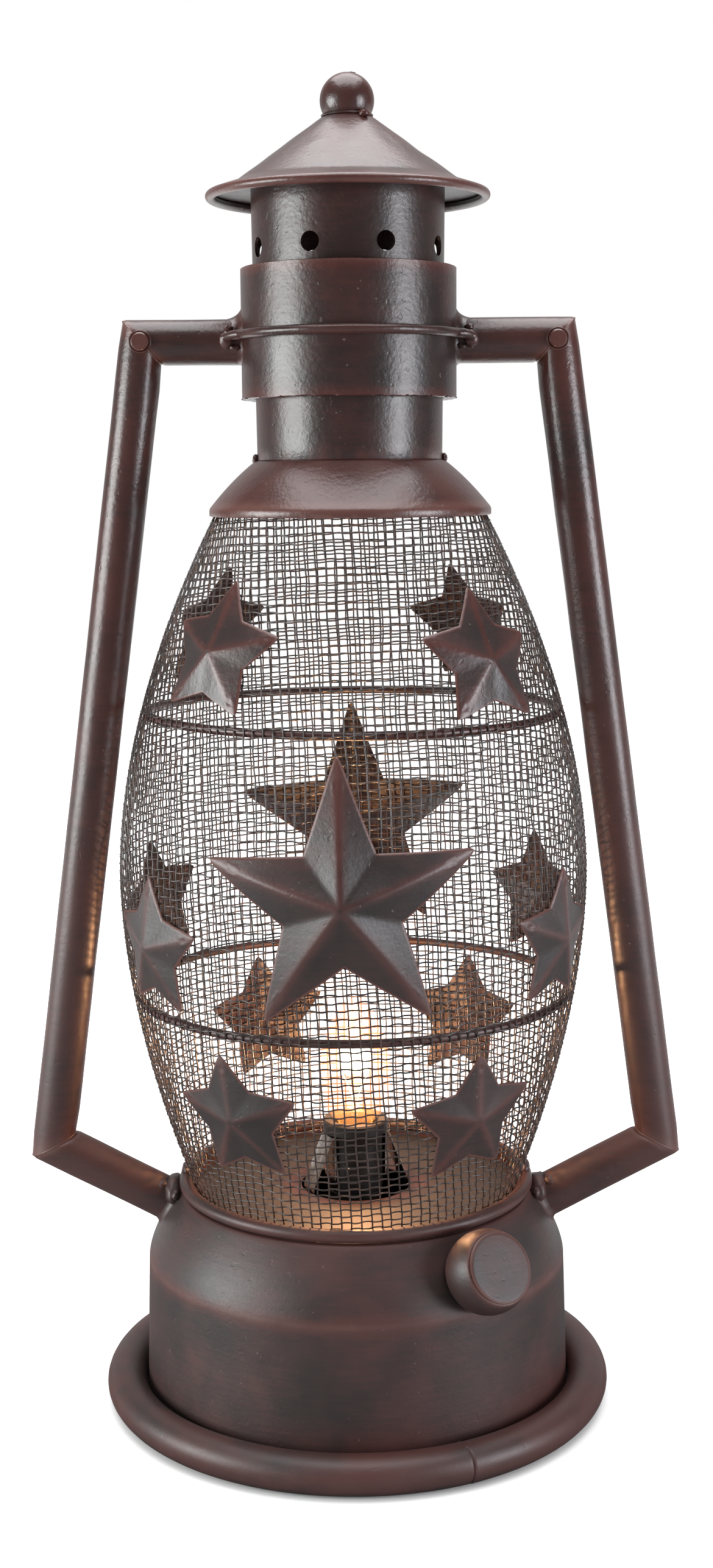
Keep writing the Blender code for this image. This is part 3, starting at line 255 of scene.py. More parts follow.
def hump(value, middle, width):
    """1 at the middle, fading to 0 on both sides."""
    return math.exp(-((value - middle) / width) ** 2)


def heading(points, k):
    """Direction of an open path at one of its points."""
    return (points[min(k + 1, len(points) - 1)] - points[max(k - 1, 0)]).normalized()


# Shader and geometry trees, written as sums of sockets

class Link:
    """A socket that takes part in sums: every sum adds its own Math node."""

    def __init__(self, plan, socket):
        self.plan = plan
        self.socket = socket

    def of(self, output):
        """Another output of the same node."""
        return Link(self.plan, self.socket.node.outputs[output])

    def __add__(self, other):
        return self.plan.math("ADD", self, other)

    def __radd__(self, other):
        return self.plan.math("ADD", other, self)

    def __sub__(self, other):
        return self.plan.math("SUBTRACT", self, other)

    def __rsub__(self, other):
        return self.plan.math("SUBTRACT", other, self)

    def __mul__(self, other):
        return self.plan.math("MULTIPLY", self, other)

    def __rmul__(self, other):
        return self.plan.math("MULTIPLY", other, self)

    def __truediv__(self, other):
        return self.plan.math("DIVIDE", self, other)

    def __rtruediv__(self, other):
        return self.plan.math("DIVIDE", other, self)

    def __pow__(self, other):
        return self.plan.math("POWER", self, other)


class Plan:
    """A node tree under construction."""

    def __init__(self, tree):
        self.tree = tree

    def node(self, kind, settings=None, inputs=None, output=0):
        """Add a node: its settings first, then the values or links of its sockets."""
        made = self.tree.nodes.new(kind)
        for key, value in (settings or {}).items():
            setattr(made, key, value)
        for key, value in (inputs or {}).items():
            if isinstance(value, Link):
                self.tree.links.new(value.socket, made.inputs[key])
            else:
                made.inputs[key].default_value = value
        return Link(self, made.outputs[output]) if len(made.outputs) else made

    def math(self, operation, *values, clamp=False):
        """Add a Math node."""
        settings = {"operation": operation, "use_clamp": clamp}
        return self.node("ShaderNodeMath", settings, dict(enumerate(values)))

    def clamp(self, value):
        """Keep a number between 0 and 1."""
        return self.math("ADD", value, 0.0, clamp=True)

    def size(self, value):
        """A number without its sign."""
        return self.math("ABSOLUTE", value)

    def over(self, value, limit):
        """1 above a limit, 0 below it."""
        return self.math("GREATER_THAN", value, limit)

    def vector(self, x, y, z):
        """Three numbers as a vector."""
        return self.node("ShaderNodeCombineXYZ", {}, {0: x, 1: y, 2: z})

    def part(self, vector, axis):
        """One of a vector's three numbers."""
        return self.node("ShaderNodeSeparateXYZ", {}, {0: vector}, axis)

    def blend(self, factor, first, second):
        """Mix two colours."""
        first = first if isinstance(first, Link) else (*first, 1.0)
        second = second if isinstance(second, Link) else (*second, 1.0)
        return self.node("ShaderNodeMix", {"data_type": "RGBA"}, {0: factor, 6: first, 7: second}, 2)

    def place(self):
        """Object coordinates of the surface."""
        return self.node("ShaderNodeTexCoord", output=3)

    def noise(self, where, scale, detail):
        """Smooth noise round 0.5."""
        return self.node("ShaderNodeTexNoise", {}, {"Vector": where, "Scale": scale, "Detail": detail})

    def speckle(self, scale, detail=2.0, stretch=None):
        """Noise on object coordinates, optionally stretched along an axis."""
        where = self.place()
        if stretch:
            where = self.node("ShaderNodeVectorMath", {"operation": "MULTIPLY"}, {0: where, 1: stretch})
        return self.noise(where, scale, detail)

    def band(self, value, low, high):
        """0 below low and 1 above high, smooth between them."""
        return self.node("ShaderNodeMapRange", {"interpolation_type": "SMOOTHSTEP"},
                         {0: value, 1: low, 2: high})

    def attribute(self, name):
        """A number kept on the mesh."""
        return self.node("ShaderNodeAttribute", {"attribute_name": name}, output=2)

    def bump(self, height, distance, strength):
        """Relief for the shader's Normal."""
        return self.node("ShaderNodeBump", {},
                         {"Height": height, "Distance": distance, "Strength": strength})

    def feed(self, **sockets):
        """Link what changes over the surface into the shader; the finished material."""
        for name, link in sockets.items():
            self.tree.links.new(link.socket, self.shader.inputs[name.replace("_", " ")])
        return self.material


def new_finish(name, values):
    """A material with one Principled shader; values are its plain sockets."""
    material = bpy.data.materials.new(name)
    material.use_nodes = True
    material.node_tree.nodes.clear()
    plan = Plan(material.node_tree)
    shader = plan.node("ShaderNodeBsdfPrincipled", {}, values)
    plan.node("ShaderNodeOutputMaterial", {}, {"Surface": shader})
    plan.shader = shader.socket.node
    plan.material = material
    return plan


def make_bronze_paint(looks):
    """Dark brown paint, rubbed reddish in patches and along edges, smoother and duller low on the lamp; the
    per-corner number that marks rubbed paint also carries painted highlights, lighter and redder, and
    painted shade, darker on the pan.
    """
    plan = new_finish("bronze_paint", {"Specular IOR Level": 0.72})
    thick = plan.band(plan.part(plan.place(), 2), 0.075, 0.290)
    # The per-corner number: rubbed paint, painted highlights on the base's crease, the shoulder and the
    # finial's top, and painted shade on the pan below 0.
    worn_and_painted_light = plan.attribute("wear_and_painted_light")
    patches = plan.speckle(24.0, 3.0, (1.0, 1.0, 1.3))
    clouds = plan.speckle(85.0, 4.0)
    brushed = plan.speckle(110.0, 3.0, (1.0, 1.0, 9.0))
    fine = plan.speckle(1500.0, 2.0)
    rubbed = plan.band(patches * 0.50 + clouds * 0.30 + brushed * 0.20 + worn_and_painted_light * 0.30, 0.36, 0.72)
    colour = plan.blend(rubbed, looks.paint_dark, looks.paint_red)
    # Lighter red where the number is high: rubbed rims and ridges, and the painted highlights of crease,
    # shoulder and finial.
    edge = plan.band(worn_and_painted_light + (clouds - 0.5) * 0.5, 0.50, 1.05)
    colour = plan.blend(edge * 0.8, colour, looks.paint_edge_and_highlight)
    # The pan, marked below 0, is painted darker: painted shade.
    colour = plan.blend(plan.band(0.0 - worn_and_painted_light, 0.55, 0.95) * 0.85, colour, looks.pan_painted_shade)
    dust = plan.band(plan.speckle(700.0, 1.0), 0.76, 0.80)
    colour = plan.blend(dust * 0.5, colour, looks.paint_dust)
    rough = (looks.paint_roughness + (1.0 - thick) * 0.17 + (clouds - 0.5) * 0.18 + (fine - 0.5) * 0.10
             - rubbed * 0.03)
    peel = plan.speckle(620.0, 2.0) * (0.28 + 0.55 * thick)
    pits = 1.0 - plan.band(plan.speckle(380.0, 1.0), 0.24, 0.30)
    relief = plan.bump(peel + fine * 0.25 + brushed * 0.2 - pits * 0.3, 0.00014, 0.8)
    return plan.feed(Base_Color=colour, Roughness=rough, Normal=relief)


def make_wire_finish(looks):
    """Dark painted wire, rubbed lighter in small random patches."""
    plan = new_finish("mesh_wire", {"Specular IOR Level": 1.0})
    clouds = plan.speckle(160.0, 2.0)
    fine = plan.speckle(2600.0, 2.0)
    rubbed = plan.band(clouds * 0.5 + fine * 0.5, 0.45, 0.62)
    colour = plan.blend(rubbed, looks.wire_dark, looks.wire_red)
    return plan.feed(Base_Color=colour, Roughness=0.34 + (clouds - 0.5) * 0.2,
                     Normal=plan.bump(fine, 0.00002, 0.5))


def make_bulb_glass(looks):
    """Thin clear glass with a warm bloom: a white glare round the filament, a streak above and below."""
    plan = new_finish("clear_glass", {"Roughness": 0.03, "IOR": 1.45, "Emission Strength": 12.0})
    height = plan.part(plan.place(), 2)
    away = plan.size(height - looks.glow_height)
    facing = 1.0 - plan.node("ShaderNodeLayerWeight", {}, {"Blend": 0.5}, 1)
    glare = (1.0 - plan.band(away, 0.0018, 0.0068)) * plan.band(facing, 0.80, 0.97)
    streak = (1.0 - plan.band(away, 0.004, 0.026)) * plan.band(facing, 0.965, 1.0)
    low = plan.band(height, looks.glow_height - 0.0227, looks.glow_height - 0.0157)
    wave = plan.speckle(120.0, 2.0, (1.0, 1.0, 0.2))
    body = plan.blend(low, (0.0334, 0.0174, 0.0066), (0.0566, 0.0234, 0.0126))
    glow = plan.blend(plan.clamp(glare * glare + streak * 0.10), body, (1.0, 0.86, 0.64))
    alpha = plan.clamp(0.12 + (1.0 - low) * 0.08 + glare * 0.82 + streak * 0.30 + (wave - 0.5) * 0.04)
    colour = plan.blend(low, (0.20, 0.12, 0.05), (0.16, 0.09, 0.06))
    return plan.feed(Base_Color=colour, Emission_Color=glow, Alpha=alpha)


def make_filament_finish(looks):
    """White-hot tungsten, slightly redder where the leads cool it."""
    plan = new_finish("filament_wire", {"Roughness": 0.4, "Emission Strength": looks.filament_strength})
    colour = plan.blend(plan.speckle(500.0, 1.0), (1.0, 0.78, 0.46), (1.0, 0.90, 0.70))
    return plan.feed(Base_Color=colour, Emission_Color=colour)


def make_stained(name, values, stain, grain, shows, clean, stained, dull, relief, raised=0.0):
    """A finish with a cloudy stain over a fine grain, which is duller where it is stained."""
    plan = new_finish(name, values)
    cloud = plan.speckle(*stain)
    height = plan.speckle(*grain)
    if raised:
        height = height + cloud * raised
    colour = plan.blend(plan.band(cloud, *shows), clean, stained)
    return plan.feed(Base_Color=colour, Roughness=dull[0] + cloud * dull[1],
                     Normal=plan.bump(height, *relief))


PAINTED_FINISHES = {
    "bronze_paint": make_bronze_paint,
    "mesh_wire": make_wire_finish,
    "clear_glass": make_bulb_glass,
    "filament_wire": make_filament_finish,
}
STAINED_FINISHES = {
    "brass": {                  # nickelled and drawn, slightly tarnished
        "values": {"Metallic": 1.0}, "stain": (300.0, 3.0), "grain": (900.0, 2.0, (1.0, 1.0, 0.15)),
        "shows": (0.4, 0.7), "clean": (0.72, 0.52, 0.21), "stained": (0.42, 0.27, 0.11),
        "dull": (0.24, 0.2), "relief": (0.00002, 0.4)},
    "spring_steel": {           # bright rolled strip with a little oil stain
        "values": {"Metallic": 1.0}, "stain": (420.0, 4.0), "grain": (1400.0, 2.0, (1.0, 1.0, 0.08)),
        "shows": (0.42, 0.66), "clean": (0.72, 0.70, 0.66), "stained": (0.40, 0.36, 0.31),
        "dull": (0.16, 0.16), "relief": (0.00004, 0.6), "raised": 2.0},
    "black_plastic": {          # moulded, with a fine grain and a little dust
        "values": {"Specular IOR Level": 0.5}, "stain": (180.0, 3.0), "grain": (2200.0, 2.0),
        "shows": (0.4, 0.7), "clean": (0.010, 0.009, 0.009), "stained": (0.022, 0.020, 0.018),
        "dull": (0.34, 0.14), "relief": (0.00002, 0.5)},
    "black_rubber": {           # soft, with a dull bloom
        "values": {"Specular IOR Level": 0.35}, "stain": (240.0, 4.0), "grain": (1800.0, 2.0),
        "shows": (0.42, 0.68), "clean": (0.018, 0.018, 0.018), "stained": (0.042, 0.041, 0.040),
        "dull": (0.66, 0.2), "relief": (0.00003, 0.6)},
}


def finish_for(slot):
    """The material of a slot, made when it is first needed."""
    ready = bpy.data.materials.get("finish_" + slot)
    if ready is None:
        if slot in PAINTED_FINISHES:
            ready = PAINTED_FINISHES[slot](bpy.context.scene.lantern_looks)
        else:
            ready = make_stained(slot, **STAINED_FINISHES[slot])
        ready.name = "finish_" + slot
    return ready


# Meshes

class Shape:
    """A mesh under construction, in millimetres, with a number on each corner for how rubbed it is, which
    also carries painted highlight and shade.
    """

    def __init__(self):
        self.bm = bmesh.new()
        self.wear_and_painted_light = self.bm.verts.layers.float.new("wear_and_painted_light")

    def corner(self, place, wear_and_painted_light=0.0):
        """Add one corner."""
        made = self.bm.verts.new(place)
        made[self.wear_and_painted_light] = wear_and_painted_light
        return made

    def skin(self, loops, closed=False):
        """Join rows of corners with faces; a row of one corner is a pole."""
        pairs = list(zip(loops, loops[1:]))
        if closed:
            pairs.append((loops[-1], loops[0]))
        for first, second in pairs:
            count = max(len(first), len(second))
            if count == 1:
                continue
            for k in range(count):
                ring = []
                for row, index in ((first, k), (first, k + 1), (second, k + 1), (second, k)):
                    vert = row[index % len(row)]
                    if vert not in ring:
                        ring.append(vert)
                if len(ring) > 2:
                    self.bm.faces.new(ring)

    def lathe(self, outline, steps=144, warp=None, angles=None):
        """Turn a closed outline of (radius, height, wear) round the axis."""
        loops = []
        for radius, height, *rest in outline:
            wear_and_painted_light = rest[0] if rest else 0.0
            if radius < 1e-6:
                loops.append([self.corner((0.0, 0.0, height), wear_and_painted_light)])
                continue
            ring = []
            for angle in angles or full_turn(steps):
                r, z = warp(angle, radius, height) if warp else (radius, height)
                ring.append(self.corner(around(angle, r, z), wear_and_painted_light))
            loops.append(ring)
        self.skin(loops, closed=True)
        return self

    def sweep(self, points, radius, sides=12, closed=False, wear_and_painted_light=0.0):
        """Carry a round section along points; radius is a number or a function of the share."""
        points = [Vector(p) for p in points]
        count = len(points)
        size = radius if callable(radius) else (lambda share: radius)
        normal = None
        loops = []
        for k, point in enumerate(points):
            if closed:
                along = (points[(k + 1) % count] - points[k - 1]).normalized()
            else:
                along = heading(points, k)
            if normal is None:
                normal = along.orthogonal().normalized()
            normal = (normal - along * normal.dot(along)).normalized()
            other = along.cross(normal)
            r = size(k / max(1, count - 1))
            loops.append([(point, normal * math.cos(angle) * r + other * math.sin(angle) * r, along)
                          for angle in full_turn(sides)])
        rows = [[self.corner(p + o, wear_and_painted_light) for p, o, _ in ring] for ring in loops]
        if not closed:
            rows = self.round_end(loops[0], -size(0.0), wear_and_painted_light)[::-1] + rows
            rows += self.round_end(loops[-1], size(1.0), wear_and_painted_light)
        self.skin(rows, closed=closed)

    def round_end(self, ring, reach, wear_and_painted_light):
        """Rows of a domed end beyond a ring of (middle, arm, direction)."""
        rows = []
        for turn in (math.pi / 6.0, math.pi / 3.0):
            rows.append([self.corner(p + o * math.cos(turn) + a * reach * math.sin(turn), wear_and_painted_light)
                         for p, o, a in ring])
        middle, _, direction = ring[0]
        rows.append([self.corner(middle + direction * reach, wear_and_painted_light)])
        return rows

    def fillet(self, corners, wear_and_painted_light=0.25):
        """Weld metal in a corner; each entry holds the corner and a foot on either piece."""
        rows = []
        for corner, first, second in corners:
            middle = (first + second) * 0.5
            pull = corner + (middle - corner) * 0.45
            row = [self.corner(corner - (middle - corner) * 0.4, wear_and_painted_light)]
            row += [self.corner(curve_point(first, pull, second, t), wear_and_painted_light) for t in stepped(0.0, 1.0, 6)]
            rows.append(row)
        self.skin(rows, closed=True)

    def blob(self, centre, radii, lump=0.15, seed=0.0, wear_and_painted_light=0.2, detail=3):
        """A lump of weld metal: a ball pulled to three radii and made uneven."""
        made = bmesh.ops.create_icosphere(self.bm, subdivisions=detail, radius=1.0)
        for vert in made["verts"]:
            uneven = 1.0 + lump * noise.noise(vert.co * 1.7 + Vector((seed, 0.3 * seed, 1.1 * seed)))
            vert.co = Vector(centre) + Vector(a * r for a, r in zip(vert.co, radii)) * uneven
            vert[self.wear_and_painted_light] = wear_and_painted_light

    def mesh(self, name, sharp=40.0, place=None):
        """The finished mesh in metres, its doubles merged and its faces outward."""
        bm = self.bm
        bmesh.ops.remove_doubles(bm, verts=bm.verts[:], dist=0.0005)
        bmesh.ops.recalc_face_normals(bm, faces=bm.faces[:])
        bmesh.ops.transform(bm, matrix=(place or Matrix()) @ Matrix.Scale(MM, 4), verts=bm.verts[:])
        mesh = bpy.data.meshes.new(name)
        bm.to_mesh(mesh)
        bm.free()
        mesh.shade_smooth()
        mesh.set_sharp_from_angle(angle=math.radians(sharp))
        return mesh


def add_piece(name, mesh, slot, body, *nodes):
    """Link a finished mesh, give it its finish and hang it on its body."""
    piece = bpy.data.objects.new(name, mesh)
    bpy.context.scene.collection.objects.link(piece)
    mesh.materials.clear()
    mesh.materials.append(finish_for(slot))
    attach(piece, body)
    if nodes:
        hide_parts(*nodes)
    return piece


def add_painted(name, shape, *nodes, body="lantern", sharp=40.0, place=None):
    """Add a piece in bronze paint, on the lantern unless another body is named."""
    return add_piece(name, shape.mesh(name, sharp, place), "bronze_paint", body, *nodes)


def curve_point(start, pull, finish, t):
    """A point of the curve that leaves start towards pull and ends at finish."""
    return start * (1.0 - t) ** 2 + pull * 2.0 * t * (1.0 - t) + finish * t * t


def round_path(points, reach, steps=5):
    """Round the inner corners of a path of (radius, height) points."""
    points = [Vector(p) for p in points]
    path = [points[0]]
    for a, b, c in zip(points, points[1:], points[2:]):
        cut = min(reach, 0.45 * (a - b).length, 0.45 * (c - b).length)
        start = b + (a - b).normalized() * cut
        finish = b + (c - b).normalized() * cut
        path += [curve_point(start, b, finish, t) for t in stepped(0.0, 1.0, steps)]
    path.append(points[-1])
    return path


def smoothed(path):
    """A path with more points where they lie far apart, all on one smooth curve."""
    finer = []
    for k, (a, b) in enumerate(zip(path, path[1:])):
        leaving = (b - path[max(0, k - 1)]) * 0.5
        arriving = (path[min(len(path) - 1, k + 2)] - a) * 0.5
        steps = 3 if (b - a).length > 2.0 else 1
        for step in range(steps):
            u = step / steps
            finer.append(a * (2 * u ** 3 - 3 * u ** 2 + 1) + leaving * (u ** 3 - 2 * u ** 2 + u)
                         + b * (3 * u ** 2 - 2 * u ** 3) + arriving * (u ** 3 - u ** 2))
    return finer + [path[-1]]


def sheet_ring(path, thickness, edge_wear=1.0, wear_and_painted_light=None):
    """Closed outline of sheet metal whose outer face is the path, with rounded worn edges."""
    path = [Vector(p[:2]) for p in path]
    inner = []
    for k, point in enumerate(path):
        along = heading(path, k)
        inner.append(point + Vector((along.y, -along.x)) * thickness)

    def edge(start, finish, beyond):
        """Half round from one face to the other."""
        middle = (start + finish) * 0.5
        half = (start - finish) * 0.5
        out = beyond.normalized() * 0.5 * thickness
        rounded = [middle + half * math.cos(turn) + out * math.sin(turn) * 0.9
                   for turn in stepped(0.0, math.pi, 4)]
        return [(p.x, p.y, edge_wear) for p in rounded]

    ring = [(p.x, p.y, wear_and_painted_light(p) if wear_and_painted_light else 0.0) for p in path]
    ring += edge(path[-1], inner[-1], path[-1] - path[-2])
    ring += [(p.x, p.y, 0.0) for p in inner[-2:0:-1]]
    return ring + edge(inner[0], path[0], path[0] - path[1])


def tube_ring(ring_radius, height, tube, sides=24, flat=1.0):
    """Section of a bent tube; its outside is a little rubbed."""
    ring = []
    for angle in full_turn(sides):
        rub = max(0.0, math.cos(angle)) ** 4 * 0.55 + max(0.0, math.sin(angle)) ** 6 * 0.35
        ring.append((ring_radius + tube * math.cos(angle), height + flat * tube * math.sin(angle), rub))
    return ring


def evaluated_mesh(thing):
    """What an object's modifiers make of it, as a plain mesh."""
    bpy.context.view_layer.update()
    graph = bpy.context.evaluated_depsgraph_get()
    mesh = bpy.data.meshes.new_from_object(thing.evaluated_get(graph), depsgraph=graph)
    thing.modifiers.clear()
    return mesh


def drill(piece, centre, direction, radius, reach):
    """Bore a round hole through a piece, then drop the drill."""
    outline = [(0.0, -reach), (radius, -reach), (radius, reach), (0.0, reach)]
    turn = Vector(direction).to_track_quat("Z", "Y").to_matrix().to_4x4()
    place = Matrix.Translation(Vector(centre) * MM) @ turn
    tool = bpy.data.objects.new("drill", Shape().lathe(outline, 40).mesh("drill", place=place))
    bpy.context.scene.collection.objects.link(tool)
    cut = piece.modifiers.new("hole", "BOOLEAN")
    cut.operation = "DIFFERENCE"
    cut.solver = "EXACT"
    cut.object = tool
    solid = piece.data
    piece.data = evaluated_mesh(piece)
    piece.data.shade_smooth()
    piece.data.set_sharp_from_angle(angle=math.radians(40.0))
    bpy.data.meshes.remove(solid)
    bpy.data.objects.remove(tool, do_unlink=True)


# Base

def make_foot_ring():
    """Bent tube with its butt seam, which a little weld metal closes."""
    near_seam = [BUTT_SEAM + offset for offset in (-0.012, -0.006, -0.003, 0.0, 0.003, 0.006, 0.012)]

    def butt(angle, radius, height):
        """A groove at the seam, and one end that stands out a little."""
        step = 0.18 if angle > BUTT_SEAM else 0.0
        return radius - 0.28 * hump(angle, BUTT_SEAM, 0.0035) + step * hump(angle, BUTT_SEAM, 0.05), height

    wide, high = FOOT_TUBE
    shape = Shape().lathe(tube_ring(FOOT_RADIUS, high, wide, 32, high / wide), warp=butt,
                          angles=sorted(full_turn(180) + near_seam))
    shape.blob(around(BUTT_SEAM, FOOT_RADIUS + 0.8, 10.9), (1.4, 1.6, 0.8), 0.3, 3.0)
    add_painted("foot_tube", shape, "foot_ring")


def make_base_shell():
    """Pan, spun cover and rolled wall in one skin, with the bore for the cord."""
    side = [(radius, PAN_Z) for radius in (PAN_HOLE, 28.0, 39.0, 49.5, PAN_EDGE)]
    side += [(cover_radius(height), height) for height in stepped(PAN_Z - PAN_CORNER, SEAM_Z, 14)]
    side += [(WALL_RADIUS - WALL_TAPER * (WALL_HEIGHT - drop) / WALL_HEIGHT, SEAM_Z - drop)
             for drop in range(2, 44, 2)]
    side.append((WALL_RADIUS, WALL_FOOT))

    def rubbed(point):
        """The crease is rubbed and carries a painted highlight line; the pan's corner and the wall's foot
        are rubbed; below 0 the pan is painted darker, as painted shade.
        """
        if point.x <= 50.0:
            return -1.0
        # 0.75 at the crease: rubbed paint and a painted highlight line.
        return max(0.75 * hump(point.y, SEAM_Z, 2.4), 0.5 * hump(point.y, PAN_Z, 1.2),
                   0.25 * hump(point.y, 12.0, 4.0))

    shape = Shape().lathe(sheet_ring(round_path(side, 1.6, 4), SHEET, 0.8, rubbed), 200)
    shell = add_painted("base_shell", shape, "base_wall", "base_cover", "base_pan")
    drill(shell, CORD_EXIT, REARWARD, CORD_BORE, 10.0)


def make_base():
    """Foot ring, the shell of the base, the bead and the grommet for the cord."""
    make_foot_ring()
    make_base_shell()
    add_painted("bead_ring", Shape().lathe(tube_ring(BEAD_RING, BEAD_Z, BEAD_TUBE, 18, 0.93), 180),
                "globe_bead")
    outline = [(2.3, 2.0), (6.0, 2.0), (6.4, 1.6), (6.4, 0.9), (6.1, 0.5), (4.6, 0.5), (4.6, -1.4),
               (5.8, -1.6), (5.5, -2.8), (2.3, -2.8)]
    place = (Matrix.Translation((0.0, GROMMET_Y * MM, CORD_EXIT[2] * MM))
             @ Matrix.Rotation(-0.5 * math.pi, 4, "X"))
    grommet = Shape().lathe(outline, 48).mesh("cord_grommet", place=place)
    add_piece("cord_grommet", grommet, "black_rubber", "lantern", "cord_bushing")


# Woven mesh

WEAVE_INPUTS = {
    "Lines": 80, "Bends": 180, "Line Spacing": 0.00295, "Bend Spacing": 0.00255, "Upright": 1.0,
    "Wire Radius": 0.000225, "Crimp": 0.0002, "Sag": 0.0, "Lean": 0.045, "Turn": 0.0,
    "Belly Radius": BELLY_RADIUS * MM, "Belly Height": BELLY_Z * MM,
    "Foot Radius": GLOBE_FOOT_RADIUS * MM, "Foot Height": BEAD_Z * MM,
    "Neck Radius": GLOBE_NECK_RADIUS * MM, "Neck Height": LIP_Z * MM, "Power": GLOBE_POWER,
    "Lowest": 0.068, "Highest": 0.2783, "Reach": 1.6, "Seam Inset": 0.0, "Unevenness": 0.0005, "Seed": 0.0,
}
SHEET_WIDTH = 0.232     # of one sheet of mesh, laid flat, in metres
SHEET_HEIGHT = 0.226


def weave_plan():
    """Geometry nodes for one family of crimped wires that lie on a barrel."""
    tree = bpy.data.node_groups.new("woven_wires", "GeometryNodeTree")
    face = tree.interface
    for name, default in WEAVE_INPUTS.items():
        kind = "NodeSocketInt" if isinstance(default, int) else "NodeSocketFloat"
        face.new_socket(name, in_out="INPUT", socket_type=kind).default_value = default
    face.new_socket("Finish", in_out="INPUT", socket_type="NodeSocketMaterial")
    face.new_socket("Geometry", in_out="OUTPUT", socket_type="NodeSocketGeometry")
    plan = Plan(tree)
    given = plan.node("NodeGroupInput")

    # A flat grid of which only the lines along the bends stay
    lines = given.of("Lines")
    bends = given.of("Bends")
    grid = plan.node("GeometryNodeMeshGrid", {}, {
        "Size X": lines - 1.0, "Size Y": bends - 1.0, "Vertices X": lines, "Vertices Y": bends})
    ends = plan.node("GeometryNodeInputMeshEdgeVertices")
    step = plan.node("ShaderNodeVectorMath", {"operation": "SUBTRACT"},
                     {0: ends.of("Position 1"), 1: ends.of("Position 2")})
    above = {"data_type": "FLOAT", "operation": "GREATER_THAN"}
    cross = plan.node("FunctionNodeCompare", above, {0: plan.size(plan.part(step, 0)), 1: 0.5})
    rows = plan.node("GeometryNodeDeleteGeometry", {"domain": "EDGE", "mode": "EDGE_FACE"},
                     {"Geometry": grid, "Selection": cross})

    # Which wire and which crossing a point belongs to
    here = plan.node("ShaderNodeSeparateXYZ", {}, {0: plan.node("GeometryNodeInputPosition")})
    line = plan.math("ROUND", here + (lines - 1.0) * 0.5)
    bend = plan.math("ROUND", here.of(1) + (bends - 1.0) * 0.5)
    cell = plan.math("FLOOR", bend * 0.5)
    along = cell + 0.24 + (bend - cell * 2.0) * 0.52
    sign = plan.math("PINGPONG", line + plan.math("ROUND", along), 1.0) * 2.0 - 1.0

    # Its place on the flat sheet, a little astray
    upright = given.of("Upright")
    flat = 1.0 - upright
    by_line = (line - (lines - 1.0) * 0.5) * given.of("Line Spacing")
    by_bend = (along - bends * 0.25) * given.of("Bend Spacing")
    side = by_line * upright + by_bend * flat
    rise = by_bend * upright + by_line * flat
    seed = given.of("Seed")
    drift = plan.noise(plan.vector(side * 38.0, rise * 38.0, seed), 1.0, 2.0)
    drop = plan.noise(plan.vector(side * 38.0, rise * 38.0, seed + 9.0), 1.0, 2.0)
    stray = plan.node("ShaderNodeTexWhiteNoise", {"noise_dimensions": "1D"},
                      {"W": line + seed * 17.0 + upright * 501.0})
    uneven = given.of("Unevenness")
    side = side + (drift - 0.5) * uneven * 6.0 + (stray - 0.5) * uneven * upright
    rise = rise + (drop - 0.5) * uneven * 6.0 + (stray - 0.5) * uneven * flat
    cosine = plan.math("COSINE", given.of("Lean"))
    sine = plan.math("SINE", given.of("Lean"))
    arc = side * cosine - rise * sine
    climb = side * sine + rise * cosine + sign * given.of("Sag")

    # The same place on the barrel
    belly = given.of("Belly Height")
    over = plan.over(climb, 0.0)
    under = 1.0 - over
    span = (belly - given.of("Foot Height")) * under + (given.of("Neck Height") - belly) * over
    end = given.of("Foot Radius") * under + given.of("Neck Radius") * over
    loss = (plan.size(climb) / span) ** 1.66 * 0.04
    height = belly + climb * (1.0 - loss)
    share = plan.size(height - belly) / span
    widest = given.of("Belly Radius")
    radius = widest - (widest - end) * share ** given.of("Power")
    angle = arc / radius
    open_angle = plan.size(angle)
    tucked = plan.clamp((open_angle - 1.40) / 0.12) * given.of("Seam Inset")
    depth = radius - 0.0003 - tucked + sign * given.of("Crimp")
    turned = angle + given.of("Turn")
    place = plan.vector(plan.math("SINE", turned) * depth, plan.math("COSINE", turned) * depth * -1.0,
                        height)

    # What lies beyond the sheet's edges goes, and the rest becomes wire
    ragged = (stray - 0.5) * 0.02
    beyond = (plan.over(open_angle + ragged, given.of("Reach")) + plan.over(given.of("Lowest"), height)
              + plan.over(height, given.of("Highest")))
    marked = plan.node("GeometryNodeStoreNamedAttribute", {"data_type": "FLOAT", "domain": "POINT"},
                       {"Geometry": rows, "Name": "outside", "Value": beyond})
    moved = plan.node("GeometryNodeSetPosition", {}, {"Geometry": marked, "Position": place})
    outside = plan.node("GeometryNodeInputNamedAttribute", {"data_type": "FLOAT"}, {"Name": "outside"})
    kept = plan.node("GeometryNodeDeleteGeometry", {"domain": "POINT", "mode": "ALL"}, {
        "Geometry": moved, "Selection": plan.node("FunctionNodeCompare", above, {0: outside, 1: 0.5})})
    section = plan.node("GeometryNodeCurvePrimitiveCircle", {"mode": "RADIUS"},
                        {"Resolution": 5, "Radius": given.of("Wire Radius")})
    swept = plan.node("GeometryNodeCurveToMesh", {}, {
        "Curve": plan.node("GeometryNodeMeshToCurve", {}, {"Mesh": kept}),
        "Profile Curve": section, "Fill Caps": True})
    smooth = plan.node("GeometryNodeSetShadeSmooth", {}, {"Geometry": swept, "Shade Smooth": True})
    real = plan.node("GeometryNodeRealizeInstances", {}, {"Geometry": smooth})
    coated = plan.node("GeometryNodeSetMaterial", {}, {"Geometry": real, "Material": given.of("Finish")})
    plan.node("NodeGroupOutput", {}, {0: coated})
    return tree


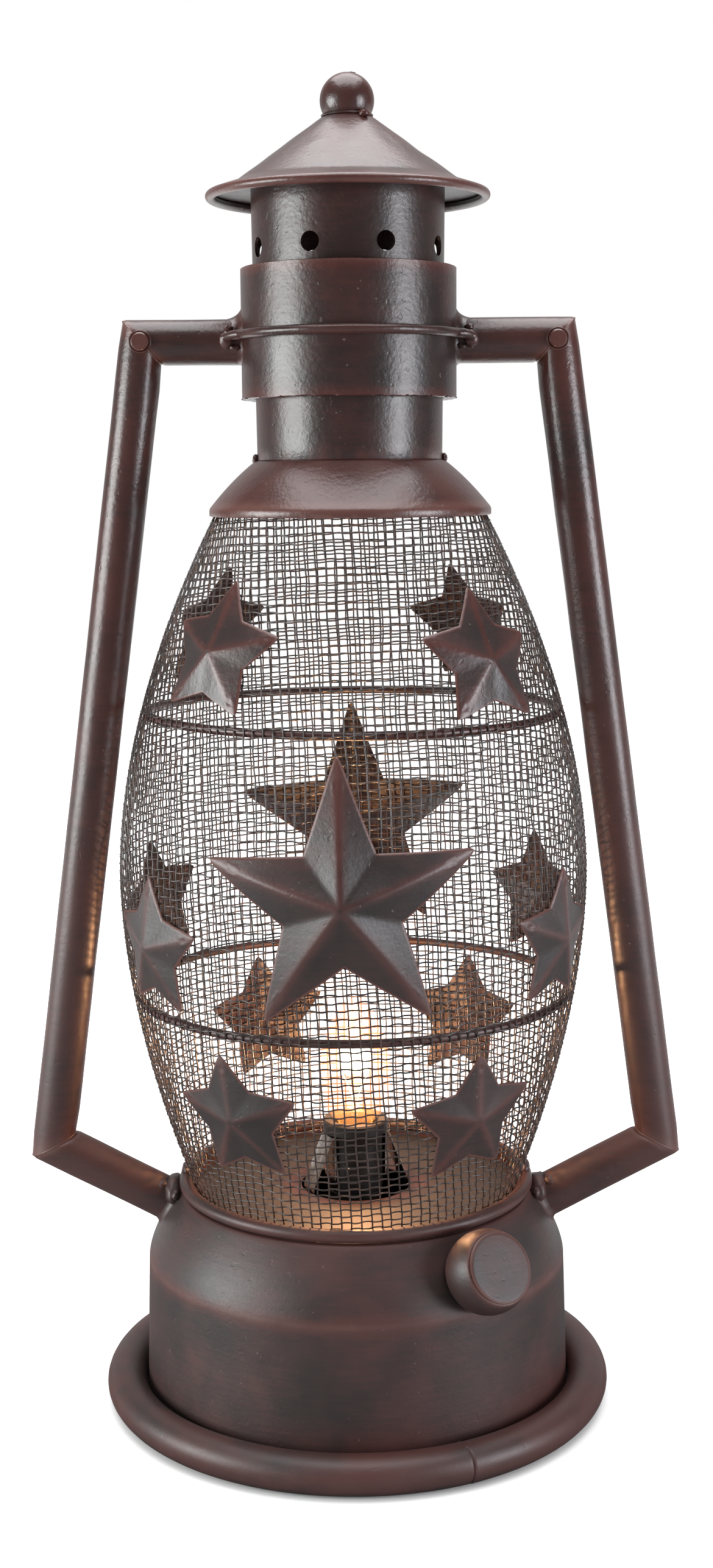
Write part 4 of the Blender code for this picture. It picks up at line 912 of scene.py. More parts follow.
def grown(name, tree, values):
    """Run a geometry tree once and keep the result as a plain mesh."""
    holder = bpy.data.objects.new(name, bpy.data.meshes.new(name))
    bpy.context.scene.collection.objects.link(holder)
    modifier = holder.modifiers.new("growth", "NODES")
    modifier.node_group = tree
    for item in tree.interface.items_tree:
        if item.item_type == "SOCKET" and item.in_out == "INPUT" and item.name in values:
            modifier[item.identifier] = values[item.name]
    mesh = evaluated_mesh(holder)
    bpy.data.objects.remove(holder, do_unlink=True)
    if "outside" in mesh.attributes:
        mesh.attributes.remove(mesh.attributes["outside"])
    mesh.name = name
    return mesh


def make_woven_mesh():
    """Front and rear sheet of woven wire, each with its uprights and its rounds."""
    sizes = bpy.context.scene.lantern_mesh
    tree = weave_plan()
    across = int(SHEET_WIDTH / sizes.upright_spacing) + 6
    rows = int(SHEET_HEIGHT / sizes.round_spacing) + 8
    families = {
        "uprights": {"Lines": across, "Bends": 2 * rows, "Upright": 1.0, "Crimp": 0.00012, "Sag": 0.0,
                     "Line Spacing": sizes.upright_spacing, "Bend Spacing": sizes.round_spacing},
        "rounds": {"Lines": rows, "Bends": 2 * across, "Upright": 0.0, "Crimp": -sizes.crimp,
                   "Sag": 0.4 * sizes.crimp, "Line Spacing": sizes.round_spacing,
                   "Bend Spacing": sizes.upright_spacing},
    }
    for part, turn, seed, lean, inset in (("front", 0.0, 1.0, sizes.lean, 0.0),
                                          ("rear", math.pi, 5.0, -0.6 * sizes.lean, 0.0010)):
        shared = {"Wire Radius": 0.5 * sizes.wire_diameter, "Lean": lean, "Turn": turn, "Seed": seed,
                  "Seam Inset": inset, "Unevenness": sizes.unevenness, "Finish": finish_for("mesh_wire")}
        for kind, own in families.items():
            name = f"mesh_{part}_{kind}"
            add_piece(name, grown(name, tree, {**shared, **own}), "mesh_wire", "lantern", "mesh_" + part)


def make_hoops():
    """Two hoops soldered inside the mesh, each a little out of round."""
    for name, height in HOOPS.items():
        def bowed(angle, radius, z, phase=height):
            """Three shallow bulges round the hoop, and two waves up and down."""
            return radius + 0.15 * math.sin(3.0 * angle + phase), z + 0.35 * math.sin(2.0 * angle + phase)

        ring = tube_ring(globe_radius(height) - HOOP_INSET, height, HOOP_TUBE, 12)
        add_painted(name + "_round", Shape().lathe(ring, 160, warp=bowed), name)


# Shoulder, chimney, cap

def make_shoulder():
    """Spun ring over the mesh's upper edge, painted lighter all over as a highlight and rubbed along its
    lip.
    """
    path = [(SHOULDER_BORE, SHOULDER_TOP_Z), (SHOULDER_NECK, SHOULDER_TOP_Z)]
    for share in stepped(0.0, 1.0, 10)[1:]:
        bulge = SHOULDER_BULGE * share * (1.0 - share)
        path.append((SHOULDER_NECK + SHOULDER_SPREAD * share,
                     SHOULDER_TOP_Z - SHOULDER_DROP * share + bulge))
    path.append((SHOULDER_NECK + SHOULDER_SPREAD, LIP_Z))
    # 0.60 all over paints the shoulder lighter and redder: painted highlight; the hump at the lip is rubbed
    # paint.
    ring = sheet_ring(round_path(path, 0.7, 3), SHEET, 1.0, lambda p: 0.60 + 0.4 * hump(p.y, 279.5, 1.4))
    add_painted("shoulder_dome", Shape().lathe(ring, 180), "shoulder")


def make_chimney_tube():
    """Slightly flared tube with its ring of vents."""
    path = [(chimney_radius(height), height) for height in stepped(CHIMNEY_TOP_Z, CHIMNEY_FOOT_Z, 20)]
    tube = add_painted("chimney_body", Shape().lathe(sheet_ring(path, CHIMNEY_SHEET, 0.4), 120),
                       "chimney_tube")
    for pair in range(VENT_PAIRS):
        angle = math.radians(22.5 + 45.0 * pair)
        drill(tube, (0.0, 0.0, VENT_Z), around(angle, 1.0), VENT_RADIUS, 36.0)


def make_sleeve():
    """Wider sleeve with a folded upper edge and drops of solder along its crooked foot."""
    path = [(chimney_radius(SLEEVE_TOP_Z) + 0.1, SLEEVE_TOP_Z - 0.5), (31.0, SLEEVE_TOP_Z - 0.5),
            (31.5, SLEEVE_TOP_Z), (SLEEVE_RADIUS, SLEEVE_TOP_Z - 0.2)]
    path += [(SLEEVE_RADIUS, height)
             for height in stepped(SLEEVE_TOP_Z - 0.6, SLEEVE_FOOT_Z + 0.4, 12)[1:-1]]
    path += [(SLEEVE_RADIUS, SLEEVE_FOOT_Z + 0.2), (31.4, SLEEVE_FOOT_Z), (28.2, SLEEVE_FOOT_Z)]

    def crooked(angle, radius, height):
        """Both edges wander a little; the wall between them is true."""
        low = max(0.0, 1.0 - (height - SLEEVE_FOOT_Z) / 1.5)
        high = max(0.0, 1.0 - (SLEEVE_TOP_Z - height) / 1.2)
        lump = noise.noise(Vector((math.sin(angle) * 9.0, math.cos(angle) * 9.0, height * 0.02)))
        return radius, height + 0.45 * low * lump - 0.2 * high * abs(lump)

    def rubbed(point):
        """Rubbed at the folded edge and along the foot."""
        return max(hump(point.y, SLEEVE_TOP_Z, 0.7), 0.6 * hump(point.y, SLEEVE_FOOT_Z, 0.7))

    shape = Shape().lathe(sheet_ring(path, SLEEVE_SHEET, 0.6, rubbed), 160, warp=crooked)
    for k in range(SOLDER_DROPS):
        angle = 0.7 + 6.283 * k / SOLDER_DROPS + 0.09 * math.sin(k * 5.1)
        size = 0.45 + 0.3 * abs(math.sin(k * 2.3))
        shape.blob(around(angle, 31.6, SLEEVE_FOOT_Z + 0.2), (size, size, 0.4 * size), 0.4, k, 0.5, 2)
    add_painted("sleeve_band", shape, "chimney_sleeve")


def make_cap():
    """Cone, brim and curled rim of one sheet, a little rippled by the spinning."""
    cone = list(zip(stepped(CAP_TOP_RADIUS, BRIM_RADIUS, 12), stepped(CAP_TOP_Z, BRIM_Z, 12)))
    cone = round_path(cone + [BRIM_END], 2.6, 4)
    cone += [Vector((CURL_RADIUS + CURL_TUBE * math.cos(angle), CURL_Z + CURL_TUBE * math.sin(angle)))
             for angle in stepped(CURL_START, CURL_END, 18)[1:]]

    def rippled(angle, radius, height):
        """Low waves in the middle of the cone."""
        wave = noise.noise(Vector((math.sin(angle) * 3.0, math.cos(angle) * 3.0, radius * 0.16)))
        return radius, height + 0.30 * hump(radius, 22.0, 9.0) * wave

    ring = sheet_ring(cone, CAP_SHEET, 0.6, lambda p: 0.3 + 0.5 * hump(p.x, 41.5, 1.2))
    add_painted("cap_hood", Shape().lathe(ring, 180, warp=rippled), "cap_cone")


def make_finial():
    """Ball on the cap, with a flat spot at its top and solder round its foot."""
    low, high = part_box("finial_ball")
    middle = (low.z + high.z) / (2.0 * MM)
    # Lighter and redder towards the top of the ball: rubbed paint and a painted highlight.
    outline = [(FINIAL_RADIUS * math.sin(angle), middle + FINIAL_RADIUS * math.cos(angle),
                0.35 + max(0.0, math.cos(angle)) ** 3 * 0.45) for angle in stepped(0.0, math.pi, 32)]
    outline[0] = (0.0, middle + FINIAL_RADIUS, 0.7)
    outline[-1] = (0.0, middle - FINIAL_RADIUS, 0.0)
    shape = Shape().lathe(outline, 64)
    shape.blob((0.9, -0.4, middle + 7.75), (1.5, 1.3, 0.22), 0.3, 4.0, 0.9)
    shape.sweep([around(angle, 7.35, CAP_TOP_Z + 0.15) for angle in full_turn(48)], 0.35, 8, closed=True,
                wear_and_painted_light=0.1)
    shape.blob((4.9, -6.9, CAP_TOP_Z - 0.2), (1.7, 1.4, 1.0), 0.3, 8.0, 0.6)
    add_painted("finial_knob", shape, "finial_ball")


# Handle frame

def across_tube(axis, angle):
    """Unit arm from a tube's axis towards its skin."""
    return REARWARD * math.cos(angle) + axis.cross(REARWARD) * math.sin(angle)


def mitre_normal(corner, first, second):
    """Unit arm square to the plane in which two tubes are mitred."""
    return ((first - corner).normalized() - (second - corner).normalized()).normalized()


def mitre_cut(corner, first, second):
    """A function: how far a line along a tube goes until it meets the mitre."""
    normal = mitre_normal(corner, first, second)
    return lambda point, axis: (corner - point).dot(normal) / axis.dot(normal)


def sleeve_cut(point, axis):
    """How far a line along the upper arm goes until it meets the sleeve."""
    return abs(math.sqrt(max(0.0, (SLEEVE_RADIUS - 0.2) ** 2 - point.y ** 2)) - abs(point.x))


def cover_gap(point, axis):
    """How far a line along the lower arm goes on until it ends just inside the cover."""
    for k in range(240):
        back = 0.1 * k - 4.0
        spot = point - axis * back
        if spot.z > PAN_Z or math.hypot(spot.x, spot.y) > cover_radius(min(spot.z, PAN_Z - PAN_CORNER)):
            return 0.2 - back
    return 0.0


def make_leg(piece, node, start, finish, first, last, side):
    """One tube of the handle, its ends cut to what they meet, faintly dented."""
    axis = (finish - start).normalized()
    angles = full_turn(TUBE_SIDES)
    lines = []
    for angle in angles:
        base = start + across_tube(axis, angle) * TUBE_RADIUS
        lines.append((base, first(base, axis) + MITRE_GAP, last(base, axis) - MITRE_GAP))
    shape = Shape()
    loops = []
    for share in stepped(0.0, 1.0, 32):
        row = []
        for angle, (base, near, far) in zip(angles, lines):
            at = near + (far - near) * share
            dent = 0.12 * noise.noise(Vector((at * 0.05, math.sin(angle), math.cos(angle) + side)))
            close = min(share, 1.0 - share) * (far - near)
            reach = TUBE_RADIUS + dent - 0.35 * hump(close, 0.0, 0.5)
            spot = start + axis * at + (base - start).normalized() * reach
            row.append(shape.corner(spot, 0.30 + 0.6 * hump(close, 0.0, 2.0)))
        loops.append(row)
    hubs = [sum((vert.co for vert in row), Vector()) / TUBE_SIDES for row in (loops[0], loops[-1])]
    shape.skin([[shape.corner(hubs[0])]] + loops + [[shape.corner(hubs[1])]])
    add_painted(piece, shape, node, sharp=60.0)


def weld_mitre(welds, corner, first, second, size):
    """A raised seam round a mitre."""
    normal = mitre_normal(corner, first, second)
    axis = (second - corner).normalized()
    arms = [across_tube(axis, angle) * (TUBE_RADIUS - SEAM_DEPTH) for angle in full_turn(72)]
    seam = [corner + arm - axis * arm.dot(normal) / axis.dot(normal) for arm in arms]
    welds.sweep(seam, size, 8, closed=True, wear_and_painted_light=1.0)


def weld_to_sleeve(welds, side):
    """Weld metal between the upper arm and the sleeve, thickest above the arm."""
    def spot(reach, angle, out):
        """A point on the sleeve round the arm's axis, moved out along the arm."""
        y = reach * math.cos(angle)
        x = math.sqrt((SLEEVE_RADIUS - 0.05) ** 2 - y * y)
        return Vector((side * (x + out), y, ARM_Z + reach * math.sin(angle)))

    joint = []
    for angle in full_turn(64):
        rough = noise.noise(Vector((math.cos(angle) * 1.6, math.sin(angle) * 1.6, side * 3.0)))
        above = max(0.0, math.sin(angle)) ** 2
        ahead = abs(math.cos(angle))
        on_arm = max(0.3, 0.7 + 3.2 * above + 1.0 * ahead + 0.9 * rough)
        on_sleeve = max(0.25, 0.5 + 2.2 * above + 0.7 * ahead + 0.8 * rough)
        joint.append((spot(TUBE_RADIUS, angle, 0.0), spot(TUBE_RADIUS, angle, on_arm),
                      spot(TUBE_RADIUS + on_sleeve, angle, 0.0)))
    welds.fillet(joint)


def weld_to_cover(welds, side, lower, seat):
    """Weld metal between the lower arm and the cover, with lumps of solder on it."""
    axis = (seat - lower).normalized()

    def spot(reach, angle):
        """Where a line beside the arm's axis meets the cover."""
        base = lower + across_tube(axis, angle) * reach + axis * (seat - lower).length
        return base + axis * cover_gap(base, axis)

    joint = []
    for angle in full_turn(72):
        rough = noise.noise(Vector((math.cos(angle) * 2.2, math.sin(angle) * 2.2, side * 7.0)))
        above = max(0.0, -side * math.sin(angle))
        on_arm = max(0.4, 2.0 + 2.2 * above + 1.1 * rough)
        on_cover = max(0.3, 1.7 + 1.8 * above + 0.9 * rough)
        corner = spot(TUBE_RADIUS, angle)
        joint.append((corner, corner - axis * on_arm, spot(TUBE_RADIUS + on_cover, angle) - axis * 0.05))
    welds.fillet(joint)
    for (x, y, z), size in COVER_LUMPS:
        welds.blob((side * x, y, z), size, 0.16, y + side, 0.3)


def make_corner_pin(welds, name, corner):
    """Pin through the upper mitre, with a collar round either end."""
    outline = [(0.0, -8.0), (2.3, -8.0), (2.7, -7.6), (2.7, 7.6), (2.3, 8.0), (0.0, 8.0)]
    outline = [(radius, along, 0.8 if abs(along) > 7.5 else 0.2) for radius, along in outline]
    place = Matrix.Translation(corner * MM) @ Matrix.Rotation(0.5 * math.pi, 4, "X")
    add_painted("mitre_pin_" + name, Shape().lathe(outline, 40), "corner_pin_" + name, place=place)
    for y in (-6.75, 6.75):
        collar = [corner + Vector((PIN_COLLAR * math.cos(angle), y, PIN_COLLAR * math.sin(angle)))
                  for angle in full_turn(40)]
        welds.sweep(collar, 0.32, 8, closed=True, wear_and_painted_light=0.7)


def make_tie_wire(welds, name, front):
    """Wire round one half of the sleeve, its ends bent over and soldered to the arms."""
    arc = [Vector((TIE_RADIUS * math.sin(angle), -front * TIE_RADIUS * math.cos(angle), TIE_Z))
           for angle in stepped(-TIE_HALF_ARC, TIE_HALF_ARC, 64)]
    ends = [Vector((33.4, -front * 9.3, TIE_Z)), Vector((34.6, -front * 8.5, TIE_Z - 0.2)),
            Vector((36.3, -front * 8.2, TIE_Z - 0.8))]
    path = [Vector((-p.x, p.y, p.z)) for p in ends[::-1]] + arc + ends
    shape = Shape()
    shape.sweep(smoothed(path), lambda share: TIE_WIRE + 0.05 * math.sin(40.0 * share), 14, wear_and_painted_light=0.25)
    for side in SIDES.values():
        shape.blob((side * 36.0, -front * 8.0, TIE_Z - 1.5), (2.0, 1.3, 2.5), 0.25, side + front, 0.45)
    add_painted("tie_wire_" + name, shape, "sleeve_wire_" + name)
    for side in SIDES.values():
        for x, z, size in ((35.4, 331.6, 0.9), (33.6, 326.2, 1.0)):
            welds.blob((side * x, -front * (6.3 + 0.1 * size), z), (size * 1.5, size, size), 0.4,
                       x + side * front, 0.3)


def make_handles():
    """Mitred tubes, their pins, the tie wires and the welds that hold the frame."""
    welds = Shape()
    for name, side in SIDES.items():
        root = Vector((side * ARM_ROOT_X, 0.0, ARM_Z))
        upper = Vector((side * UPPER_CORNER_X, 0.0, ARM_Z))
        lower = Vector((side * LOWER_CORNER[0], 0.0, LOWER_CORNER[1]))
        seat = Vector((side * (cover_radius(ARM_SEAT_Z) - ARM_SEAT_DEPTH), 0.0, ARM_SEAT_Z))
        upper_cut = mitre_cut(upper, root, lower)
        lower_cut = mitre_cut(lower, upper, seat)

        def cover_cut(point, axis, length=(seat - lower).length):
            """How far a line along the lower arm goes until it meets the cover."""
            return length + cover_gap(point + axis * length, axis) + MITRE_GAP

        make_leg("arm_tube_" + name, "upper_arm_" + name, root, upper, sleeve_cut, upper_cut, side)
        make_leg("frame_tube_" + name, "side_tube_" + name, upper, lower, upper_cut, lower_cut, side)
        make_leg("foot_arm_" + name, "lower_arm_" + name, lower, seat, lower_cut, cover_cut, side)
        weld_mitre(welds, upper, root, lower, 0.40)
        weld_mitre(welds, lower, upper, seat, 0.36)
        weld_to_sleeve(welds, side)
        weld_to_cover(welds, side, lower, seat)
        make_corner_pin(welds, name, upper)
    make_tie_wire(welds, "front", 1.0)
    make_tie_wire(welds, "rear", -1.0)
    for angle in (math.radians(azimuth) for azimuth in (98.0, -97.0, 88.0, -87.0)):
        welds.blob(around(angle, SHOULDER_NECK, 293.4), (0.9, 1.9, 1.6), 0.25, angle, 0.2)
    add_painted("frame_welds", welds, sharp=75.0)


# Stars

def make_star(node, kind, azimuth_deg, rise, turn_deg):
    """A pressed star: ten facets with soft ridges and valleys, a rolled rim and spot-weld dimples."""
    radius, notch, lift, splits = kind
    height = GLOBE_FOOT_Z + rise
    middle_radius = globe_radius(height)
    upright = math.cos(math.atan((globe_radius(height + 1.0) - globe_radius(height - 1.0)) / 2.0))
    azimuth = math.radians(azimuth_deg)
    turn = math.radians(turn_deg)
    tips = [angle + turn for angle in full_turn(5)]
    steep = (1.0 - notch * math.cos(math.pi / 5.0)) / (notch * math.sin(math.pi / 5.0))

    def pressed(across, up):
        """Lift and wear of the outer face at a spot of the flat star."""
        best = None
        ridge = 9.9
        dimple = 0.0
        for tip in tips:
            x = across * math.sin(tip) + up * math.cos(tip)
            y = across * math.cos(tip) - up * math.sin(tip)
            soft = math.sqrt(y * y + 0.49) - 0.7
            face = lift * (1.0 - (x + steep * soft) / radius)
            if x > 0.0 and abs(y) < x * 0.73:
                ridge = abs(y)
            if x >= 0.29 * math.hypot(across, up):
                best = face if best is None else 0.5 * (best + face + math.sqrt((best - face) ** 2 + 0.03))
            away = math.hypot(x - 0.79 * radius, y)
            dimple += 0.16 * hump(away, 1.25, 0.42) - 0.24 * hump(away, 0.0, 0.8)
        share = max(0.0, min(1.0, best / lift))
        hollow = 0.10 * lift * math.sin(math.pi * share)
        out = math.hypot(across, up) / radius
        wear_and_painted_light = 0.70 * hump(ridge, 0.0, 0.8 + 0.02 * radius) + 0.30 * out ** 2 - 0.30
        return min(best, lift * 0.985) - hollow + dimple, wear_and_painted_light

    def wrapped(across, up, out):
        """The same spot on the globe."""
        z = height + up * upright
        return around(azimuth + across / middle_radius, globe_radius(z) + STAR_GAP + out, z)

    corners = []
    for index in range(10):
        reach = radius if index % 2 == 0 else radius * notch
        angle = math.pi * index / 5.0 + turn
        corners.append(Vector((reach * math.sin(angle), reach * math.cos(angle))))
    level = Vector((math.cos(azimuth), math.sin(azimuth), 0.0))
    shape = Shape()
    rims = []
    for first, second in zip(corners, corners[1:] + corners[:1]):
        outer = {}
        inner = {}
        for i in range(splits + 1):
            for j in range(splits + 1 - i):
                flat = first * (i / splits) + second * (j / splits)
                long = flat.length / radius
                if long > 0.9:          # the tips are a little blunt
                    flat *= 1.0 - 0.025 * ((long - 0.9) / 0.1) ** 2
                out, wear_and_painted_light = pressed(flat.x, flat.y)
                outer[i, j] = shape.corner(wrapped(flat.x, flat.y, out), 1.0 if i + j == splits else wear_and_painted_light)
                inner[i, j] = shape.corner(wrapped(flat.x, flat.y, out - STAR_SHEET), 0.0)
        for grid in (outer, inner):
            for i in range(splits):
                for j in range(splits - i):
                    shape.bm.faces.new((grid[i, j], grid[i + 1, j], grid[i, j + 1]))
                    if i + j < splits - 1:
                        shape.bm.faces.new((grid[i + 1, j], grid[i + 1, j + 1], grid[i, j + 1]))
        edge = (second - first).normalized()
        out = Vector((edge.y, -edge.x))
        if out.dot(first + second) < 0.0:
            out = -out
        away = level * out.x + UPWARD * out.y
        rim = [(outer[splits - k, k], inner[splits - k, k]) for k in range(splits + 1)]
        swell = [shape.corner((upper.co + lower.co) * 0.5 + away * 0.28, 1.0) for upper, lower in rim]
        for k in range(splits):
            shape.bm.faces.new((rim[k][0], rim[k + 1][0], swell[k + 1], swell[k]))
            shape.bm.faces.new((swell[k], swell[k + 1], rim[k + 1][1], rim[k][1]))
        rims.append(swell)
    for swell, following in zip(rims, rims[1:] + rims[:1]):
        middle = (swell[-1].co + following[0].co) * 0.5
        swell[-1].co = middle
        following[0].co = middle
    add_painted(node + "_plate", shape, node, sharp=50.0)


def make_stars():
    """Two large stars and three rows of small ones."""
    for node, star in STARS.items():
        make_star(node, *star)


# Holder and bulb

def make_clip(name, turn_deg):
    """Bent spring clip, bowed across its width."""
    collar = HOLDER_TOP_Z - HOLDER_COLLAR
    spine = [(8.75, collar - 14.3), (8.75, collar - 6.0), (8.75, collar - 0.6), (9.6, collar - 0.6),
             (16.1, PAN_Z + 0.8), (16.0, PAN_Z - 0.8)]
    path = round_path(spine, 1.4, 5)
    half = [(-CLIP_HALF_WIDTH, 1.0), (-3.55, 1.25), (-1.3, 1.25), (1.3, 1.25), (3.55, 1.25),
            (CLIP_HALF_WIDTH, 1.0)]
    section = half + [(across, -sign) for across, sign in half[::-1]]
    shape = Shape()
    rows = []
    for k, point in enumerate(path):
        along = heading(path, k)
        normal = Vector((along.y, -along.x)) * 0.25
        bow = 0.5 * math.sin(math.pi * k / (len(path) - 1))
        row = []
        for across, sign in section:
            spot = point + normal * sign * 0.8
            lean = bow * (across / CLIP_HALF_WIDTH) ** 2 * 0.15
            row.append(shape.corner((spot.x + lean, across, spot.y), 0.2))
        rows.append(row)
    shape.skin(rows)
    for row in (rows[0], rows[-1]):
        shape.bm.faces.new(row)
    place = Matrix.Rotation(math.radians(turn_deg), 4, "Z")
    add_piece("spring_clip_" + name, shape.mesh("spring_clip_" + name, 30.0, place), "spring_steel",
              "holder", "holder_clip_" + name)


def make_holder():
    """Black holder with its collar and its ribs, and the two bent spring clips."""
    top = HOLDER_TOP_Z
    foot = top - HOLDER_LENGTH
    collar = top - HOLDER_COLLAR
    outline = [(7.2, top - 0.5), (7.7, top), (9.8, top), (10.25, top - 0.5), (10.25, top - 3.6),
               (9.9, collar), (8.6, collar), (8.4, top - 4.4)]
    for rib in range(6):
        z = top - 8.0 - 4.6 * rib
        outline += [(8.4, z), (8.15, z - 0.3), (8.15, z - 0.9), (8.4, z - 1.2)]
    outline += [(8.4, foot + 0.5), (7.9, foot), (2.4, foot), (2.4, top - 24.0), (7.2, top - 24.0)]
    add_piece("holder_body", Shape().lathe(outline, 72).mesh("holder_body", 30.0), "black_plastic",
              "holder", "lamp_holder")
    for name, turn in CLIP_TURNS.items():
        make_clip(name, turn)


def make_envelope():
    """Flame-shaped glass of even thickness."""
    upper = [(0.0, BULB_TIP_Z), (4.7, BULB_TIP_Z),
             (BULB_RADIUS, BULB_BELLY_Z + 0.45 * (BULB_TIP_Z - BULB_BELLY_Z)), (BULB_RADIUS, BULB_BELLY_Z)]
    lower = [(BULB_RADIUS, BULB_BELLY_Z), (BULB_RADIUS, BULB_BELLY_Z - 9.9), (8.64, BULB_SHELL_TOP_Z + 2.0),
             (BULB_NECK, BULB_SHELL_TOP_Z)]
    path = []
    for knots in (upper, lower):
        curve = interpolate_bezier(*[Vector((x, z, 0.0)) for x, z in knots], 22)
        path += [(point.x, point.y) for point in curve[:-1]]
    path += [(BULB_NECK, BULB_SHELL_TOP_Z), (BULB_NECK, BULB_FOOT_Z)]
    path[0] = (0.0, BULB_TIP_Z)
    inside = []
    for k, (radius, height) in enumerate(path):
        along = heading([Vector(point) for point in path], k)
        inside.append((radius + along.y * BULB_GLASS, height - along.x * BULB_GLASS))
    inside[0] = (0.0, BULB_TIP_Z - BULB_GLASS)
    glass = add_piece("bulb_envelope", Shape().lathe(path + inside[::-1], 72).mesh("bulb_envelope", 60.0),
                      "clear_glass", "bulb", "bulb_glass")
    glass.visible_shadow = False


def make_filament():
    """Coiled wire that hangs bowed between its two leads, and the small lamp that lights the inside."""
    shape = Shape()
    coil = []
    for share in stepped(0.0, 1.0, COIL_TURNS * 10):
        angle = 2.0 * math.pi * COIL_TURNS * share
        centre = Vector((-4.2 + 8.4 * share, 0.0, LEAD_Z + 7.0 + 7.0 * math.sin(math.pi * share)))
        coil.append(centre + Vector((0.0, math.cos(angle), math.sin(angle))) * COIL_RADIUS)
    shape.sweep(coil, 0.16, 5)
    for side in SIDES.values():
        lead = ((0.8, -1.0), (2.2, 3.0), (4.2, 7.0))
        shape.sweep([(x * side, 0.0, LEAD_Z + rise) for x, rise in lead], 0.2, 6)
    hot = add_piece("filament_coil", shape.mesh("filament_coil", 75.0), "filament_wire", "bulb", "filament")

    looks = bpy.context.scene.lantern_looks
    data = bpy.data.lights.new("bulb_light", "POINT")
    data.energy = looks.bulb_power
    data.color = looks.bulb_colour
    data.shadow_soft_size = 0.005
    lamp = bpy.data.objects.new("bulb_light", data)
    lamp.location = (0.0, 0.0, (LEAD_Z + 12.0) * MM)
    bpy.context.scene.collection.objects.link(lamp)
    lamp.parent = hot


def make_bulb():
    """Glass envelope, glass stem and glowing filament."""
    make_envelope()
    foot = BULB_FOOT_Z
    outline = [(0.0, foot + 15.5), (1.2, foot + 15.2), (1.7, foot + 14.2), (1.5, foot + 9.0),
               (1.7, foot + 4.0), (2.4, foot + 1.6), (3.9, foot + 0.4), (3.9, foot), (0.0, foot)]
    add_piece("glass_stem", Shape().lathe(outline, 32).mesh("glass_stem", 60.0), "clear_glass", "bulb",
              "filament_stem")
    make_filament()


# Knob

def knob_place():
    """The knob's frame, its origin on the cover and its axis outwards, from the joint itself."""
    for joint in frame["joints"]:
        if joint["name"] == "knob_turn":
            turn = Vector(joint["axis"]).normalized().to_track_quat("Z", "Y").to_matrix().to_4x4()
            return Matrix.Translation(Vector(joint["pos_m"])) @ turn
    raise RuntimeError("the frame has no joint named knob_turn")


def make_knob():
    """Ball-backed knob with its flat face."""
    place = knob_place()
    rim = KNOB_CENTRE + KNOB_CUT
    ball = [(math.sqrt(KNOB_BALL ** 2 - (along - KNOB_CENTRE) ** 2), along)
            for along in stepped(rim, 0.8, 32)]
    ring = sheet_ring(ball, 1.0, 0.9, lambda p: 0.25 + 0.5 * hump(p.y, rim, 1.0))
    add_painted("knob_ball", Shape().lathe(ring, 96), "knob_shell", body="knob", sharp=50.0, place=place)

    top = KNOB_TOP
    outline = [(0.0, top, 0.15), (6.0, top, 0.15), (9.2, top - 0.02, 0.2), (10.1, top - 0.12, 0.9),
               (10.4, top - 0.4, 1.0), (10.35, top - 0.8, 0.8), (9.9, top - 1.1, 0.2),
               (4.6, top - 1.2), (4.6, 3.5), (3.3, 3.5), (3.3, top - 1.8), (0.0, top - 1.8)]
    add_painted("knob_disc", Shape().lathe(outline, 96), "knob_face", body="knob", sharp=50.0, place=place)


def dress_carried_nodes():
    """Give every CAD node that still shows its procedural finish."""
    slots = {
        "socket_shell": "brass", "socket_contact": "brass", "bulb_shell": "brass", "bulb_button": "brass",
        "switch_shaft": "spring_steel", "switch_bushing": "spring_steel", "switch_nut": "spring_steel",
        "switch_body": "black_plastic",
    }
    for name, slot in slots.items():
        for holder in frame["nodes"][name].material_slots:
            holder.link = "OBJECT"
            holder.material = finish_for(slot)


# Studio

def make_paper():
    """White paper that the camera sees white, with the lamp's shadow; in the paint it mirrors dimly."""
    material = bpy.data.materials.new("studio_paper")
    material.use_nodes = True
    material.node_tree.nodes.clear()
    plan = Plan(material.node_tree)
    path = plan.node("ShaderNodeLightPath")
    mirrored = path.of("Is Glossy Ray")
    place = plan.place()
    rear = plan.band(plan.part(place, 1), 0.05, 0.50)
    level = (0.78 + plan.speckle(60.0, 3.0) * 0.04) * (1.0 - mirrored * (1.0 - rear) * 0.72)
    colour = plan.node("ShaderNodeCombineColor", {}, {0: level, 1: level, 2: level})
    reach = plan.node("ShaderNodeVectorMath", {"operation": "LENGTH"}, {0: place}, 1)
    lift = plan.band(reach, 0.0735, 0.0800) * (0.42 + 0.53 * plan.band(reach, 0.10, 0.45))
    seen = plan.clamp(path + mirrored * rear + path.of("Is Transmission Ray"))
    lit = plan.node("ShaderNodeAddShader", {}, {
        0: plan.node("ShaderNodeBsdfDiffuse", {}, {"Color": colour}),
        1: plan.node("ShaderNodeEmission", {}, {"Color": (1.0, 1.0, 1.0, 1.0), "Strength": lift * seen})})
    plan.node("ShaderNodeOutputMaterial", {}, {"Surface": lit})
    return material


def make_room(level):
    """White to the camera, even light on the lamp, and dim in the paint except at the rear."""
    world = bpy.data.worlds.new("white_room")
    world.use_nodes = True
    world.node_tree.nodes.clear()
    plan = Plan(world.node_tree)
    path = plan.node("ShaderNodeLightPath")
    shiny = plan.clamp(path.of("Is Glossy Ray") + path.of("Is Transmission Ray"))
    rear = plan.band(plan.part(plan.node("ShaderNodeTexCoord"), 1), 0.30, 0.85)
    strength = path + (1.0 - path) * (shiny * (0.07 + rear * 0.50) + (1.0 - shiny) * level)
    back = plan.node("ShaderNodeBackground", {}, {"Color": (1.0, 1.0, 1.0, 1.0), "Strength": strength})
    plan.node("ShaderNodeOutputWorld", {}, {"Surface": back})
    return world


